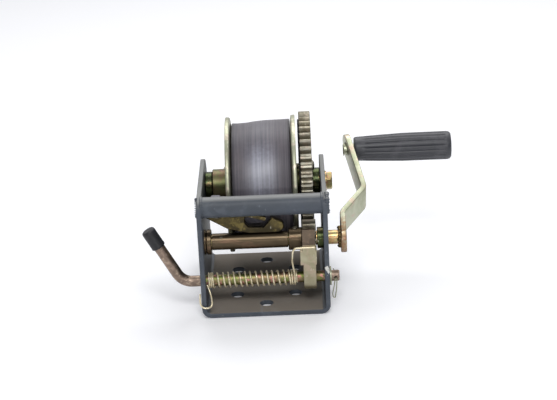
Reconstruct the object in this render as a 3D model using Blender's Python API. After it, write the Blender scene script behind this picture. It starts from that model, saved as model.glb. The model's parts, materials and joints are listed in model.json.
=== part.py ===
"""Hand-cranked boat trailer winch: a geared webbing drum in a bent steel channel, with a sprung ratchet pawl.

X points to the crank side, Y to the rear and Z up. The origin is the middle of the base's underside.
"""

import math

import bmesh
import bpy
from mathutils import Matrix, Vector

MM = 0.001
GAP = 0.3  # left between pieces that touch

# Frame channel
FRAME_WIDTH = 108.0
FRAME_DEPTH = 125.0
FRAME_HEIGHT = 103.5
PLATE = 4.0
BEND_RADIUS = 8.0
FRONT_CORNER = 9.0
REAR_CORNER = 22.0
BASE_HOLE = 10.5
BASE_HOLES = [(25.0, 26.0), (-25.0, 26.0), (25.0, -26.0), (-25.0, -26.0), (0.0, 45.0), (0.0, -45.0)]
SIDE_HOLE = 7.0
SIDE_HOLE_BELOW_TUBE = 17.0

# Cross tube between the plates
TUBE_DIAMETER = 17.2
TUBE_Y = -52.5
TUBE_Z = 96.6

# Drum and its axle bolt
AXLE_Y = 30.0
AXLE_Z = 84.0
AXLE_DIAMETER = 9.5
AXLE_HEAD = 14.5
AXLE_HEAD_THICKNESS = 4.6
WASHER_THICKNESS = 1.4
SPACER_DIAMETER = 24.0
LEFT_SPACER = 6.0
FLANGE_TO_CRANK = 13.7  # from the flange's rim to the crank's axis
FLANGE_THICKNESS = 3.0
FLANGE_FLARE = 1.0  # how far the rim curls outwards
FLANGE_FLARE_WIDTH = 7.0
FLANGE_OPENING = 52.6
HUB_DIAMETER = 28.0
CORE_DIAMETER = 36.0
NECK_DIAMETER = 21.4
WEBBING_WIDTH = 50.0
ROLL_LEFT_BELOW_RIM = 4.3
ROLL_RIGHT_BELOW_RIM = 2.1
STRAP_BOLT_DIAMETER = 8.0
STRAP_BOLT_CIRCLE = 25.0
RIVET_DIAMETER = 5.0
RIVET_CIRCLE = 38.0
RIVETS = 4
RIVET_START = math.radians(23.0)

# Gears
MODULE = 2.5
GEAR_TEETH = 48
PINION_TEETH = 10
SHIFT = 0.4
PRESSURE_ANGLE = math.radians(20.0)
BACKLASH = 0.35
GEAR_WIDTH = 10.0
PINION_WIDTH = 11.4
GEAR_FLANGE_SPACE = 4.0
MESH_ANGLE = 19.7  # the pinion's axis lies this far below the drum's, to the front

# Crank
SHAFT_DIAMETER = 12.0
SLEEVE_DIAMETER = 14.0
COLLAR_DIAMETER = 21.5
COLLAR_WIDTH = 4.0
BUSH_DIAMETER = 16.0
BUSH_FLANGE = 1.5
PINION_HUB_DIAMETER = 19.0
PINION_HUB_WIDTH = 11.6
RIGHT_BUSH_DIAMETER = 18.0
SET_SCREW_DIAMETER = 4.0
ARM_LENGTH = 100.0
ARM_WIDTH = 26.5
ARM_THICKNESS = 4.8
ARM_LEAN = 63.2  # from upright, to the rear
ARM_FOOT_REACH = 13.1  # out from the right plate
ARM_ELBOW_REACH = 33.0
ARM_TOP_REACH = 22.6
ARM_FOOT_LENGTH = 17.0
ARM_ELBOW_LENGTH = 44.0
GRIP_LENGTH = 85.0
GRIP_ROOT_DIAMETER = 21.0
GRIP_DIAMETER = 25.0
SPINDLE_DIAMETER = 9.4

# Ratchet lever rod, pawl and spring
ROD_DIAMETER = 9.4
ROD_Y = -46.0
ROD_Z = 27.6
ROD_END_REACH = 8.5  # out from the right plate
LEVER_BEND_REACH = 16.0  # out from the left plate
LEVER_BEND_RADIUS = 14.0
LEVER_ANGLE = 61.3
LEVER_LENGTH = 55.0
CAP_DIAMETER = 11.8
CAP_LENGTH = 17.5
COTTER_DIAMETER = 1.8
COTTER_REACH = 5.2
PAWL_BOSS_DIAMETER = 20.8
PAWL_WIDTH = 13.8
PAWL_BOSS_WIDTH = 10.6
PAWL_NOSE_WIDTH = 11.0
PAWL_SLIP = 0.45  # between the nose and the pinion's teeth
PAWL_RIGHT_X = 43.8
PAWL_REST = math.radians(7.5)  # the pawl is held this far back from the teeth
PAWL_ARM = 5.0
SPRING_WIRE = 1.3
SPRING_COIL_DIAMETER = 12.0
SPRING_CLOSE_TURNS = 3
SPRING_OPEN_TURNS = 14
SPRING_CLOSE_PITCH = 1.75
SPRING_END_X = 26.5

# Snap hook, stowed between the webbing and the cross tube
HOOK_THICKNESS = 7.0
HOOK_Y = -37.5
HOOK_EYE_X = -38.5
HOOK_EYE_ABOVE_SLEEVE = 21.2
HOOK_EYE_DIAMETER = 12.0
LATCH_THICKNESS = 3.0
LATCH_WIDTH = 4.0
LATCH_PIN_DIAMETER = 3.0
LATCH_PIVOT_X = -19.0
LATCH_PIVOT_ABOVE_SLEEVE = 18.2
LATCH_LENGTH = 22.3
LATCH_SLOPE = -16.0
STRAP_THICKNESS = 1.6

# Worked out from the sizes above
INSIDE = FRAME_WIDTH / 2 - PLATE
OUTSIDE = FRAME_WIDTH / 2
FRONT = -FRAME_DEPTH / 2
CENTRE_DISTANCE = MODULE * (GEAR_TEETH + PINION_TEETH) / 2
CRANK_Y = AXLE_Y - CENTRE_DISTANCE * math.cos(math.radians(MESH_ANGLE))
CRANK_Z = AXLE_Z - CENTRE_DISTANCE * math.sin(math.radians(MESH_ANGLE))
SLEEVE_TOP = CRANK_Z + SLEEVE_DIAMETER / 2
FLANGE_DIAMETER = 2 * (CENTRE_DISTANCE - FLANGE_TO_CRANK)
ROLL_LEFT_DIAMETER = FLANGE_DIAMETER - 2 * ROLL_LEFT_BELOW_RIM
ROLL_RIGHT_DIAMETER = FLANGE_DIAMETER - 2 * ROLL_RIGHT_BELOW_RIM
ARM_FOOT_X = OUTSIDE + ARM_FOOT_REACH
ARM_ELBOW_X = OUTSIDE + ARM_ELBOW_REACH
ARM_TOP_X = OUTSIDE + ARM_TOP_REACH
ROD_END_X = OUTSIDE + ROD_END_REACH
COTTER_X = OUTSIDE + COTTER_REACH
LEVER_BEND_X = -OUTSIDE - LEVER_BEND_REACH
FLANGE_IN = FLANGE_OPENING / 2
FLANGE_OUT = FLANGE_IN + FLANGE_THICKNESS
GEAR_X = FLANGE_OUT + GEAR_FLANGE_SPACE
PINION_X = GEAR_X + (GEAR_WIDTH - PINION_WIDTH) / 2
PINION_TIP = MODULE * PINION_TEETH / 2 + MODULE * (1 + SHIFT)
SHAFT_BORE = SHAFT_DIAMETER / 2 + GAP
ARM_DIRECTION = Vector((0.0, math.sin(math.radians(ARM_LEAN)), math.cos(math.radians(ARM_LEAN))))
GRIP_Y = CRANK_Y + ARM_LENGTH * ARM_DIRECTION.y
GRIP_Z = CRANK_Z + ARM_LENGTH * ARM_DIRECTION.z
PAWL_LEFT_X = PAWL_RIGHT_X - PAWL_WIDTH
PAWL_BACK = Matrix.Rotation(PAWL_REST, 4, "X")
PAWL_FACE = CRANK_Y - PINION_TIP - 0.8 - PAWL_ARM
HOOK_FRONT = HOOK_Y - HOOK_THICKNESS / 2
HOOK_BACK = HOOK_Y + HOOK_THICKNESS / 2
LATCH_PIVOT_Z = SLEEVE_TOP + LATCH_PIVOT_ABOVE_SLEEVE
HOOK_EYE_Z = SLEEVE_TOP + HOOK_EYE_ABOVE_SLEEVE

AXLE = Vector((0.0, AXLE_Y, AXLE_Z))
CRANK = Vector((0.0, CRANK_Y, CRANK_Z))
GRIP = Vector((0.0, GRIP_Y, GRIP_Z))
ROD = Vector((0.0, ROD_Y, ROD_Z))
LATCH = Vector((LATCH_PIVOT_X, HOOK_Y, LATCH_PIVOT_Z))
GROUND = Vector((0.0, 0.0, 0.0))


# ---------------------------------------------------------------- materials and placing

def material(name, colour, roughness, metallic):
    made = bpy.data.materials.new(name)
    made.use_nodes = True
    shader = made.node_tree.nodes["Principled BSDF"]
    shader.inputs["Base Color"].default_value = (*colour, 1.0)
    shader.inputs["Roughness"].default_value = roughness
    shader.inputs["Metallic"].default_value = metallic
    made.diffuse_color = (*colour, 1.0)
    return made


def empty(name, place):
    made = bpy.data.objects.new(name, None)
    bpy.context.scene.collection.objects.link(made)
    made.location = place * MM
    return made


def add_object(name, bm, finish, parent=None):
    """Makes an object from a bmesh in millimetres around its parent's place."""
    bmesh.ops.scale(bm, vec=(MM, MM, MM), verts=bm.verts)
    bmesh.ops.recalc_face_normals(bm, faces=bm.faces)
    mesh = bpy.data.meshes.new(name)
    bm.to_mesh(mesh)
    bm.free()
    mesh.shade_smooth()
    mesh.set_sharp_from_angle(angle=math.radians(32.0))
    made = bpy.data.objects.new(name, mesh)
    bpy.context.scene.collection.objects.link(made)
    mesh.materials.append(finish)
    made.parent = parent
    return made


def cut_with(target, bm, operation="DIFFERENCE"):
    """Cuts the target with a bmesh in millimetres around the target's parent."""
    cutter = add_object(f"{target.name}_cutter", bm, target.data.materials[0], target.parent)
    cutter.hide_render = True
    cutter.display_type = "WIRE"
    boolean = target.modifiers.new("cut", "BOOLEAN")
    boolean.operation = operation
    boolean.solver = "EXACT"
    boolean.object = cutter
    return cutter


# ---------------------------------------------------------------- shapes, in millimetres

def add_loft(bm, sections, ring=False):
    """Joins sections of equal count into one body, with flat ends or, as a ring, the last to the first."""
    rows = [[bm.verts.new(point) for point in section] for section in sections]
    pairs = list(zip(rows, rows[1:]))
    if ring:
        pairs.append((rows[-1], rows[0]))
    for first, second in pairs:
        count = len(first)
        for i in range(count):
            bm.faces.new((first[i], first[(i + 1) % count], second[(i + 1) % count], second[i]))
    if not ring:
        bm.faces.new(rows[0])
        bm.faces.new(rows[-1])


def round_section(x, radius, count, centre, sides):
    """Points around the X direction: a circle, or a hexagon with sides=6 whose radius is to its flats."""
    points = []
    for i in range(count):
        angle = 2 * math.pi * i / count
        reach = radius
        if sides:
            step = 2 * math.pi / sides
            reach = radius / math.cos((angle + step / 2) % step - step / 2)
        points.append(Vector((x, reach * math.cos(angle), reach * math.sin(angle))) + centre)
    return points


def solid_turning(profile, count=32, centre=GROUND, bm=None):
    """A solid along X from (x, radius) or (x, radius, sides) steps."""
    bm = bm or bmesh.new()
    add_loft(bm, [round_section(step[0], step[1], count, centre, (*step, 0)[2]) for step in profile])
    return bm


def ring_turning(profile, count=48):
    """A body with a bore along X from a closed (x, radius) outline."""
    bm = bmesh.new()
    sections = []
    for i in range(count):
        angle = 2 * math.pi * i / count
        sections.append([Vector((x, r * math.cos(angle), r * math.sin(angle))) for x, r in profile])
    add_loft(bm, sections, ring=True)
    return bm


def cup_turning(profile, count=32):
    """A body along X from an open (x, radius) outline whose two ends lie on the axis."""
    bm = bmesh.new()
    verts = [bm.verts.new((x, r, 0.0)) for x, r in profile]
    edges = [bm.edges.new(pair) for pair in zip(verts, verts[1:])]
    bmesh.ops.spin(bm, geom=verts + edges, cent=(0, 0, 0), axis=(1, 0, 0),
                   angle=2 * math.pi, steps=count, use_merge=True)
    bmesh.ops.remove_doubles(bm, verts=bm.verts, dist=1e-5)
    return bm


def tube(points, radius, sides=16):
    """A round bar along a path, its sections carried along without twist."""
    bm = bmesh.new()
    points = [Vector(point) for point in points]
    side = None
    sections = []
    for i, point in enumerate(points):
        ahead = (points[min(i + 1, len(points) - 1)] - points[max(i - 1, 0)]).normalized()
        side = side or ahead.orthogonal()
        side = (side - ahead * side.dot(ahead)).normalized()
        other = ahead.cross(side)
        turns = [2 * math.pi * k / sides for k in range(sides)]
        sections.append([point + radius * (side * math.cos(t) + other * math.sin(t)) for t in turns])
    add_loft(bm, sections)
    return bm


def prism(outline, near, far, axis="X"):
    """An outline of (a, b) points drawn out between two planes: a, b are Y, Z along X, or X, Z along Y."""
    def place(a, b, c):
        return Vector((c, a, b)) if axis == "X" else Vector((a, c, b))

    bm = bmesh.new()
    add_loft(bm, [[place(a, b, near) for a, b in outline], [place(a, b, far) for a, b in outline]])
    return bm


def box(bm, low, high):
    middle = (Vector(low) + Vector(high)) / 2
    size = Vector(high) - Vector(low)
    made = bmesh.ops.create_cube(bm, size=1.0)["verts"]
    bmesh.ops.scale(bm, vec=size, verts=made)
    bmesh.ops.translate(bm, vec=middle, verts=made)


def drill(bm, centre, axis, radius, length, count=24):
    """Adds a round cutter along X, Y or Z."""
    turn = {"X": Matrix.Rotation(math.pi / 2, 4, "Y"),
            "Y": Matrix.Rotation(math.pi / 2, 4, "X"),
            "Z": Matrix.Identity(4)}[axis]
    bmesh.ops.create_cone(bm, cap_ends=True, segments=count, radius1=radius, radius2=radius,
                          depth=length, matrix=Matrix.Translation(centre) @ turn)


def rounded(corners, steps=5):
    """An outline whose corners (a, b, radius) become arcs."""
    points = []
    for i, (a, b, radius) in enumerate(corners):
        here = Vector((a, b))
        back = Vector(corners[i - 1][:2]) - here
        on = Vector(corners[(i + 1) % len(corners)][:2]) - here
        half = back.angle(on) / 2
        if radius <= 0 or abs(half - math.pi / 2) < 1e-3:
            points.append(here)
            continue
        middle = here + (back.normalized() + on.normalized()).normalized() * radius / math.sin(half)
        start = here + back.normalized() * radius / math.tan(half) - middle
        sweep = start.angle_signed(here + on.normalized() * radius / math.tan(half) - middle)
        for k in range(steps + 1):
            points.append(middle + Matrix.Rotation(-sweep * k / steps, 2) @ start)
    return [(p.x, p.y) for p in points]


# ---------------------------------------------------------------- gear teeth

def involute(angle):
    return math.tan(angle) - angle


def tooth_half_angle(radius, teeth, shift):
    """Half the angle that one tooth fills at a radius."""
    pitch = MODULE * teeth / 2
    base = pitch * math.cos(PRESSURE_ANGLE)
    half = (math.pi / 2 + 2 * shift * math.tan(PRESSURE_ANGLE)) / teeth - BACKLASH / (4 * pitch)
    here = math.acos(min(1.0, base / max(radius, base)))
    return half + involute(PRESSURE_ANGLE) - involute(here)


def gear_outline(teeth, shift, first_tooth, flank_steps=4):
    """The outline of an involute gear in Y and Z, with a tooth centred at the angle first_tooth."""
    pitch = MODULE * teeth / 2
    base = pitch * math.cos(PRESSURE_ANGLE)
    tip = pitch + MODULE * (1 + shift)
    root = pitch - MODULE * (1.25 - shift)
    low = max(base, root)
    radii = [low + (tip - low) * k / flank_steps for k in range(flank_steps + 1)]
    if root < base:
        radii.insert(0, root)
    points = []
    for n in range(teeth):
        middle = first_tooth + 2 * math.pi * n / teeth
        rising = [(r, middle - tooth_half_angle(r, teeth, shift)) for r in radii]
        falling = [(r, middle + tooth_half_angle(r, teeth, shift)) for r in reversed(radii)]
        points += rising + [(tip, middle)] + falling
    return [(r * math.cos(a), r * math.sin(a)) for r, a in points]


# ---------------------------------------------------------------- frame

def frame_channel(finish):
    inner = max(BEND_RADIUS - PLATE, 0.5)
    section = rounded([
        (-OUTSIDE, 0.0, BEND_RADIUS), (OUTSIDE, 0.0, BEND_RADIUS), (OUTSIDE, FRAME_HEIGHT, 0),
        (INSIDE, FRAME_HEIGHT, 0), (INSIDE, PLATE, inner), (-INSIDE, PLATE, inner),
        (-INSIDE, FRAME_HEIGHT, 0), (-OUTSIDE, FRAME_HEIGHT, 0)])
    channel = add_object("frame_channel", prism(section, FRONT, -FRONT, axis="Y"), finish)
    side = rounded([
        (FRONT - 1, -1.0, 0), (-FRONT + 1, -1.0, 0), (-FRONT + 1, AXLE_Z - 20, 0),
        (-FRONT, AXLE_Z - 19, 0), (-FRONT, FRAME_HEIGHT + 0.001, REAR_CORNER),
        (FRONT, FRAME_HEIGHT + 0.001, FRONT_CORNER), (FRONT, AXLE_Z - 19, 0), (FRONT - 1, AXLE_Z - 20, 0)], 8)
    cut_with(channel, prism(side, -OUTSIDE - 5, OUTSIDE + 5), "INTERSECT")
    holes = bmesh.new()
    for x, y in BASE_HOLES:
        drill(holes, (x, y, PLATE / 2), "Z", BASE_HOLE / 2, PLATE * 3)
    through = FRAME_WIDTH + 20
    drill(holes, AXLE, "X", AXLE_DIAMETER / 2 + GAP, through)
    drill(holes, CRANK, "X", BUSH_DIAMETER / 2 + GAP, through, 32)
    drill(holes, ROD, "X", ROD_DIAMETER / 2 + GAP, through)
    drill(holes, (0, FRONT + 8, TUBE_Z - SIDE_HOLE_BELOW_TUBE), "X", SIDE_HOLE / 2, through)
    cut_with(channel, holes)


def axle_parts(zinc, green):
    length = OUTSIDE + GAP + WASHER_THICKNESS + GAP
    radius = AXLE_DIAMETER / 2
    flats = AXLE_HEAD / 2
    head = length + AXLE_HEAD_THICKNESS
    add_object("axle_bolt", solid_turning([
        (-OUTSIDE + 1, radius - 1), (-OUTSIDE + 2, radius), (length, radius), (length, flats, 6),
        (head - 0.8, flats, 6), (head, flats - 0.8)], 24, AXLE), zinc)
    washer = ring_turning([
        (OUTSIDE + GAP, radius + GAP), (OUTSIDE + GAP, flats + 1.5),
        (OUTSIDE + GAP + WASHER_THICKNESS, flats + 1.5),
        (OUTSIDE + GAP + WASHER_THICKNESS, radius + GAP)], 24)
    bmesh.ops.translate(washer, vec=AXLE, verts=washer.verts)
    add_object("axle_washer", washer, zinc)
    hub_start = -INSIDE + GAP + LEFT_SPACER + GAP
    for name, low, high in (("left_spacer", -INSIDE + GAP, hub_start - GAP),
                            ("right_spacer", GEAR_X + GEAR_WIDTH + GAP, INSIDE - GAP)):
        bush = ring_turning([(low, radius + GAP), (low, SPACER_DIAMETER / 2),
                             (high, SPACER_DIAMETER / 2), (high, radius + GAP)], 36)
        bmesh.ops.translate(bush, vec=AXLE, verts=bush.verts)
        add_object(name, bush, green)


def frame_bushes(zinc):
    hole = BUSH_DIAMETER / 2
    collar = -INSIDE + GAP
    left = ring_turning([(-OUTSIDE, SHAFT_BORE), (-OUTSIDE, hole), (collar, hole),
                         (collar, COLLAR_DIAMETER / 2),
                         (collar + BUSH_FLANGE, COLLAR_DIAMETER / 2), (collar + BUSH_FLANGE, SHAFT_BORE)], 36)
    inner = PINION_X + PINION_WIDTH + GAP * 3
    right = ring_turning([(inner, SHAFT_BORE), (inner, RIGHT_BUSH_DIAMETER / 2),
                          (INSIDE - GAP, RIGHT_BUSH_DIAMETER / 2), (INSIDE - GAP, hole),
                          (OUTSIDE, hole), (OUTSIDE, SHAFT_BORE)], 36)
    for name, bush in (("crank_bush_left", left), ("crank_bush_right", right)):
        bmesh.ops.translate(bush, vec=CRANK, verts=bush.verts)
        add_object(name, bush, zinc)


# ---------------------------------------------------------------- drum

def ring_places(count, circle, start):
    angles = [start + 2 * math.pi * i / count for i in range(count)]
    return [Vector((0.0, circle * math.cos(a), circle * math.sin(a))) for a in angles]


def drum(axis, olive, steel, green, webbing):
    rivets = ring_places(RIVETS, RIVET_CIRCLE / 2, RIVET_START)
    strap_bolt = ring_places(1, STRAP_BOLT_CIRCLE, 0.0)[0]
    bore = AXLE_DIAMETER / 2 + GAP
    hub_left = -INSIDE + LEFT_SPACER + 2 * GAP
    seat = NECK_DIAMETER / 2
    core = CORE_DIAMETER / 2
    add_object("drum_hub", ring_turning([
        (hub_left, bore), (hub_left, HUB_DIAMETER / 2), (-FLANGE_OUT - GAP, HUB_DIAMETER / 2),
        (-FLANGE_OUT - GAP, seat), (-FLANGE_IN + GAP, seat), (-FLANGE_IN + GAP, core),
        (FLANGE_IN - GAP, core), (FLANGE_IN - GAP, seat),
        (FLANGE_OUT + GAP, seat), (FLANGE_OUT + GAP, HUB_DIAMETER / 2),
        (GEAR_X - GAP, HUB_DIAMETER / 2), (GEAR_X - GAP, seat),
        (GEAR_X + GEAR_WIDTH, seat), (GEAR_X + GEAR_WIDTH, bore)], 40), green, axis)

    for name, low in (("left_flange", -FLANGE_OUT), ("right_flange", FLANGE_IN)):
        high = low + FLANGE_THICKNESS
        curl = math.copysign(FLANGE_FLARE, low)
        rim = FLANGE_DIAMETER / 2
        flange = add_object(name, ring_turning([
            (low, seat + GAP), (low, rim - FLANGE_FLARE_WIDTH),
            (low + curl * 0.4, rim - FLANGE_FLARE_WIDTH / 3),
            (low + curl, rim), (high + curl, rim), (high + curl * 0.4, rim - FLANGE_FLARE_WIDTH / 3),
            (high, rim - FLANGE_FLARE_WIDTH), (high, seat + GAP)], 72), olive, axis)
        holes = bmesh.new()
        middle = Vector((low + FLANGE_THICKNESS / 2, 0, 0))
        drill(holes, strap_bolt + middle, "X", STRAP_BOLT_DIAMETER / 2 + GAP, FLANGE_THICKNESS * 3)
        if name == "right_flange":
            for place in rivets:
                drill(holes, place + middle, "X", RIVET_DIAMETER / 2 + GAP, FLANGE_THICKNESS * 3)
        cut_with(flange, holes)

    mesh_direction = math.pi + math.radians(MESH_ANGLE)
    gear = add_object("drum_gear", prism(gear_outline(GEAR_TEETH, -SHIFT, mesh_direction, 3),
                                         GEAR_X, GEAR_X + GEAR_WIDTH), steel, axis)
    holes = bmesh.new()
    middle = Vector((GEAR_X + GEAR_WIDTH / 2, 0, 0))
    drill(holes, middle, "X", seat + GAP, GEAR_WIDTH * 2, 40)
    for place in rivets:
        drill(holes, place + middle, "X", RIVET_DIAMETER / 2 + GAP, GEAR_WIDTH * 2)
    cut_with(gear, holes)

    shank = RIVET_DIAMETER / 2
    outer = GEAR_X + GEAR_WIDTH + GAP
    for n, place in enumerate(rivets, start=1):
        add_object(f"gear_rivet_{n}", solid_turning([
            (FLANGE_IN + GAP, shank), (outer, shank), (outer, shank * 1.9),
            (outer + 1.2, shank * 1.7), (outer + 2.0, shank)], 16, place), steel, axis)

    thread = STRAP_BOLT_DIAMETER / 2
    flats = STRAP_BOLT_DIAMETER * 0.8
    end = GEAR_X - GAP
    start = -FLANGE_OUT - GAP
    add_object("strap_bolt", solid_turning([
        (start - 5, flats - 0.8), (start - 4.2, flats, 6), (start, flats, 6), (start, thread),
        (end, thread)], 24, strap_bolt), steel, axis)
    nut = solid_turning([(FLANGE_OUT + GAP, flats, 6), (end, flats, 6)], 24, strap_bolt)
    nut_object = add_object("strap_nut", nut, steel, axis)
    hole = bmesh.new()
    drill(hole, strap_bolt + Vector((end, 0, 0)), "X", thread + GAP, 20)
    cut_with(nut_object, hole)

    half = WEBBING_WIDTH / 2
    roll = add_object("webbing_roll", ring_turning([
        (-half, core + GAP), (-half, ROLL_LEFT_DIAMETER / 2), (half, ROLL_RIGHT_DIAMETER / 2),
        (half, core + GAP)], 64), webbing, axis)
    hole = bmesh.new()
    drill(hole, strap_bolt, "X", thread + GAP * 2, WEBBING_WIDTH * 1.5)
    cut_with(roll, hole)


# ---------------------------------------------------------------- crank

def crank_parts(axis, brown, steel, pale):
    bore = SHAFT_BORE
    collar = -INSIDE + GAP * 2 + BUSH_FLANGE
    sleeve = collar + COLLAR_WIDTH + GAP
    hub = PINION_X - GAP - PINION_HUB_WIDTH
    arm_face = ARM_FOOT_X - ARM_THICKNESS / 2
    add_object("crank_shaft", solid_turning([
        (-OUTSIDE - 1, SHAFT_DIAMETER / 2 - 0.8), (-OUTSIDE, SHAFT_DIAMETER / 2),
        (arm_face + ARM_THICKNESS, SHAFT_DIAMETER / 2)], 32), pale, axis)
    for name, low, high, radius, finish in (
            ("crank_collar", collar, collar + COLLAR_WIDTH, COLLAR_DIAMETER / 2, brown),
            ("crank_sleeve", sleeve, hub - GAP, SLEEVE_DIAMETER / 2, brown),
            ("pinion_hub", hub, hub + PINION_HUB_WIDTH, PINION_HUB_DIAMETER / 2, brown)):
        made = add_object(name, ring_turning([(low, bore), (low, radius - 0.5), (low + 0.5, radius),
                                              (high - 0.5, radius), (high, radius - 0.5), (high, bore)], 36),
                          finish, axis)
    screw_x = hub + PINION_HUB_WIDTH / 2
    hole = bmesh.new()
    drill(hole, (screw_x, 0, PINION_HUB_DIAMETER / 2), "Z", SET_SCREW_DIAMETER / 2 + GAP, 10)
    cut_with(made, hole)
    screw = bmesh.new()
    drill(screw, (screw_x, 0, (bore + GAP + PINION_HUB_DIAMETER / 2 + 0.8) / 2), "Z", SET_SCREW_DIAMETER / 2,
          PINION_HUB_DIAMETER / 2 + 0.8 - bore - GAP, 16)
    add_object("set_screw", screw, steel, axis)

    gap_to_gear = math.radians(MESH_ANGLE) + math.pi / PINION_TEETH
    pinion = add_object("pinion", prism(gear_outline(PINION_TEETH, SHIFT, gap_to_gear, 5),
                                        PINION_X, PINION_X + PINION_WIDTH), steel, axis)
    hole = bmesh.new()
    drill(hole, (PINION_X, 0, 0), "X", bore, PINION_WIDTH * 4, 32)
    cut_with(pinion, hole)
    add_object("arm_weld", ring_turning([
        (arm_face - GAP, bore), (arm_face - GAP - 3.0, bore), (arm_face - GAP - 1.6, bore + 1.6),
        (arm_face - GAP, bore + 4.0)], 24), brown, axis)


def crank_arm(axis, finish):
    """A flat bar with round ends and two bends, lofted along its length."""
    half = ARM_WIDTH / 2
    across = Vector((0.0, -ARM_DIRECTION.z, ARM_DIRECTION.y))
    line = rounded([(-half, ARM_FOOT_X, 0), (ARM_FOOT_LENGTH, ARM_FOOT_X, 9.0),
                    (ARM_ELBOW_LENGTH, ARM_ELBOW_X, 8.0), (ARM_LENGTH, ARM_TOP_X, 0),
                    (ARM_LENGTH + half, ARM_TOP_X - half * (ARM_ELBOW_X - ARM_TOP_X)
                     / (ARM_LENGTH - ARM_ELBOW_LENGTH), 0)], 6)
    stations = []
    for (u0, x0), (u1, x1) in zip(line, line[1:]):
        pieces = 12 if u0 < -1 or u1 > ARM_LENGTH + 1 else 1
        stations += [(u0 + (u1 - u0) * k / pieces, x0 + (x1 - x0) * k / pieces) for k in range(pieces)]
    stations.append(line[-1])
    sections = []
    for i, (u, x) in enumerate(stations):
        before = stations[max(i - 1, 0)]
        after = stations[min(i + 1, len(stations) - 1)]
        along = Vector((after[1] - before[1], after[0] - before[0])).normalized()
        beyond = max(-u, u - ARM_LENGTH, 0.0)
        reach = math.sqrt(max(half * half - beyond * beyond, 1.5 ** 2))
        out = Vector((along.y, 0, 0)) - ARM_DIRECTION * along.x
        middle = ARM_DIRECTION * u + Vector((x, 0, 0))
        thick = out * ARM_THICKNESS / 2
        wide = across * reach
        sections.append([middle - thick - wide, middle - thick + wide,
                         middle + thick + wide, middle + thick - wide])
    bm = bmesh.new()
    add_loft(bm, sections)
    arm = add_object("crank_arm", bm, finish, axis)
    holes = bmesh.new()
    drill(holes, (ARM_FOOT_X, 0, 0), "X", SHAFT_BORE, 20, 32)
    drill(holes, ARM_DIRECTION * ARM_LENGTH + Vector((ARM_TOP_X, 0, 0)), "X", SPINDLE_DIAMETER / 2 + GAP, 20)
    cut_with(arm, holes)


def grip_parts(crank_axis, grip_axis, zinc, rubber):
    spindle = SPINDLE_DIAMETER / 2
    lean = (ARM_ELBOW_X - ARM_TOP_X) / (ARM_LENGTH - ARM_ELBOW_LENGTH)
    head = ARM_TOP_X - ARM_THICKNESS / 2 - (spindle + 3) * lean - GAP
    grip_start = ARM_TOP_X + ARM_THICKNESS / 2 + GRIP_ROOT_DIAMETER / 2 * lean + GAP
    grip_end = grip_start + GRIP_LENGTH
    place = ARM_DIRECTION * ARM_LENGTH
    add_object("grip_spindle", solid_turning([
        (head - 1.1, spindle), (head - 0.7, spindle + 1.2), (head, spindle + 1.6), (head, spindle),
        (grip_end - 12, spindle)], 24, place), zinc, crank_axis)
    root = GRIP_ROOT_DIAMETER / 2
    full = GRIP_DIAMETER / 2
    add_object("crank_grip", cup_turning([
        (grip_end - 11.5, 0.0), (grip_end - 11.5, spindle + GAP), (grip_start, spindle + GAP),
        (grip_start, root - 1), (grip_start + 1, root), (grip_start + GRIP_LENGTH * 0.25, root + 1.1),
        (grip_start + GRIP_LENGTH * 0.5, full), (grip_end - 2.5, full), (grip_end - 0.7, full - 0.7),
        (grip_end, full - 2.5), (grip_end, 0.0)], 32), rubber, grip_axis)


# ---------------------------------------------------------------- ratchet

def lever_point(distance):
    angle = math.radians(LEVER_ANGLE)
    return Vector((LEVER_BEND_X - distance * math.cos(angle), 0.0, distance * math.sin(angle)))


def ratchet_rod(axis, brown, rubber, pale):
    bend = rounded([(ROD_END_X, 0, 0), (LEVER_BEND_X, 0, LEVER_BEND_RADIUS),
                    (lever_point(LEVER_LENGTH - 3).x, lever_point(LEVER_LENGTH - 3).z, 0)], 10)
    rod = add_object("ratchet_rod", tube([(x, 0.0, z) for x, z in bend], ROD_DIAMETER / 2, 20), brown, axis)
    hole = bmesh.new()
    drill(hole, (COTTER_X, 0, 0), "Y", COTTER_DIAMETER / 2 + GAP, 30, 12)
    cut_with(rod, hole)
    cap_bore = ROD_DIAMETER / 2 + GAP
    outer = CAP_DIAMETER / 2
    cap = cup_turning([(CAP_LENGTH - 3 + GAP, 0.0), (CAP_LENGTH - 3 + GAP, cap_bore), (0, cap_bore),
                       (0, outer),
                       (CAP_LENGTH - 1.2, outer), (CAP_LENGTH, outer - 1.2), (CAP_LENGTH, 0.0)], 24)
    turn = Matrix.Rotation(-math.pi + math.radians(LEVER_ANGLE), 4, "Y")
    place = Matrix.Translation(lever_point(LEVER_LENGTH - CAP_LENGTH))
    bmesh.ops.transform(cap, matrix=place @ turn, verts=cap.verts)
    add_object("lever_cap", cap, rubber, axis)

    washer = ring_turning([(OUTSIDE + GAP, ROD_DIAMETER / 2 + GAP), (OUTSIDE + GAP, ROD_DIAMETER * 0.85),
                           (OUTSIDE + GAP + WASHER_THICKNESS, ROD_DIAMETER * 0.85),
                           (OUTSIDE + GAP + WASHER_THICKNESS, ROD_DIAMETER / 2 + GAP)], 24)
    add_object("rod_washer", washer, pale, axis)
    radius = ROD_DIAMETER / 2
    pin = rounded([(radius + 3.5, 0, 0), (-radius - 2, 0, 2.0), (-radius - 3, -16.0, 0)], 5)
    add_object("cotter_pin", tube([(COTTER_X, y, z) for y, z in pin], COTTER_DIAMETER / 2, 10), pale, axis)


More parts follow.
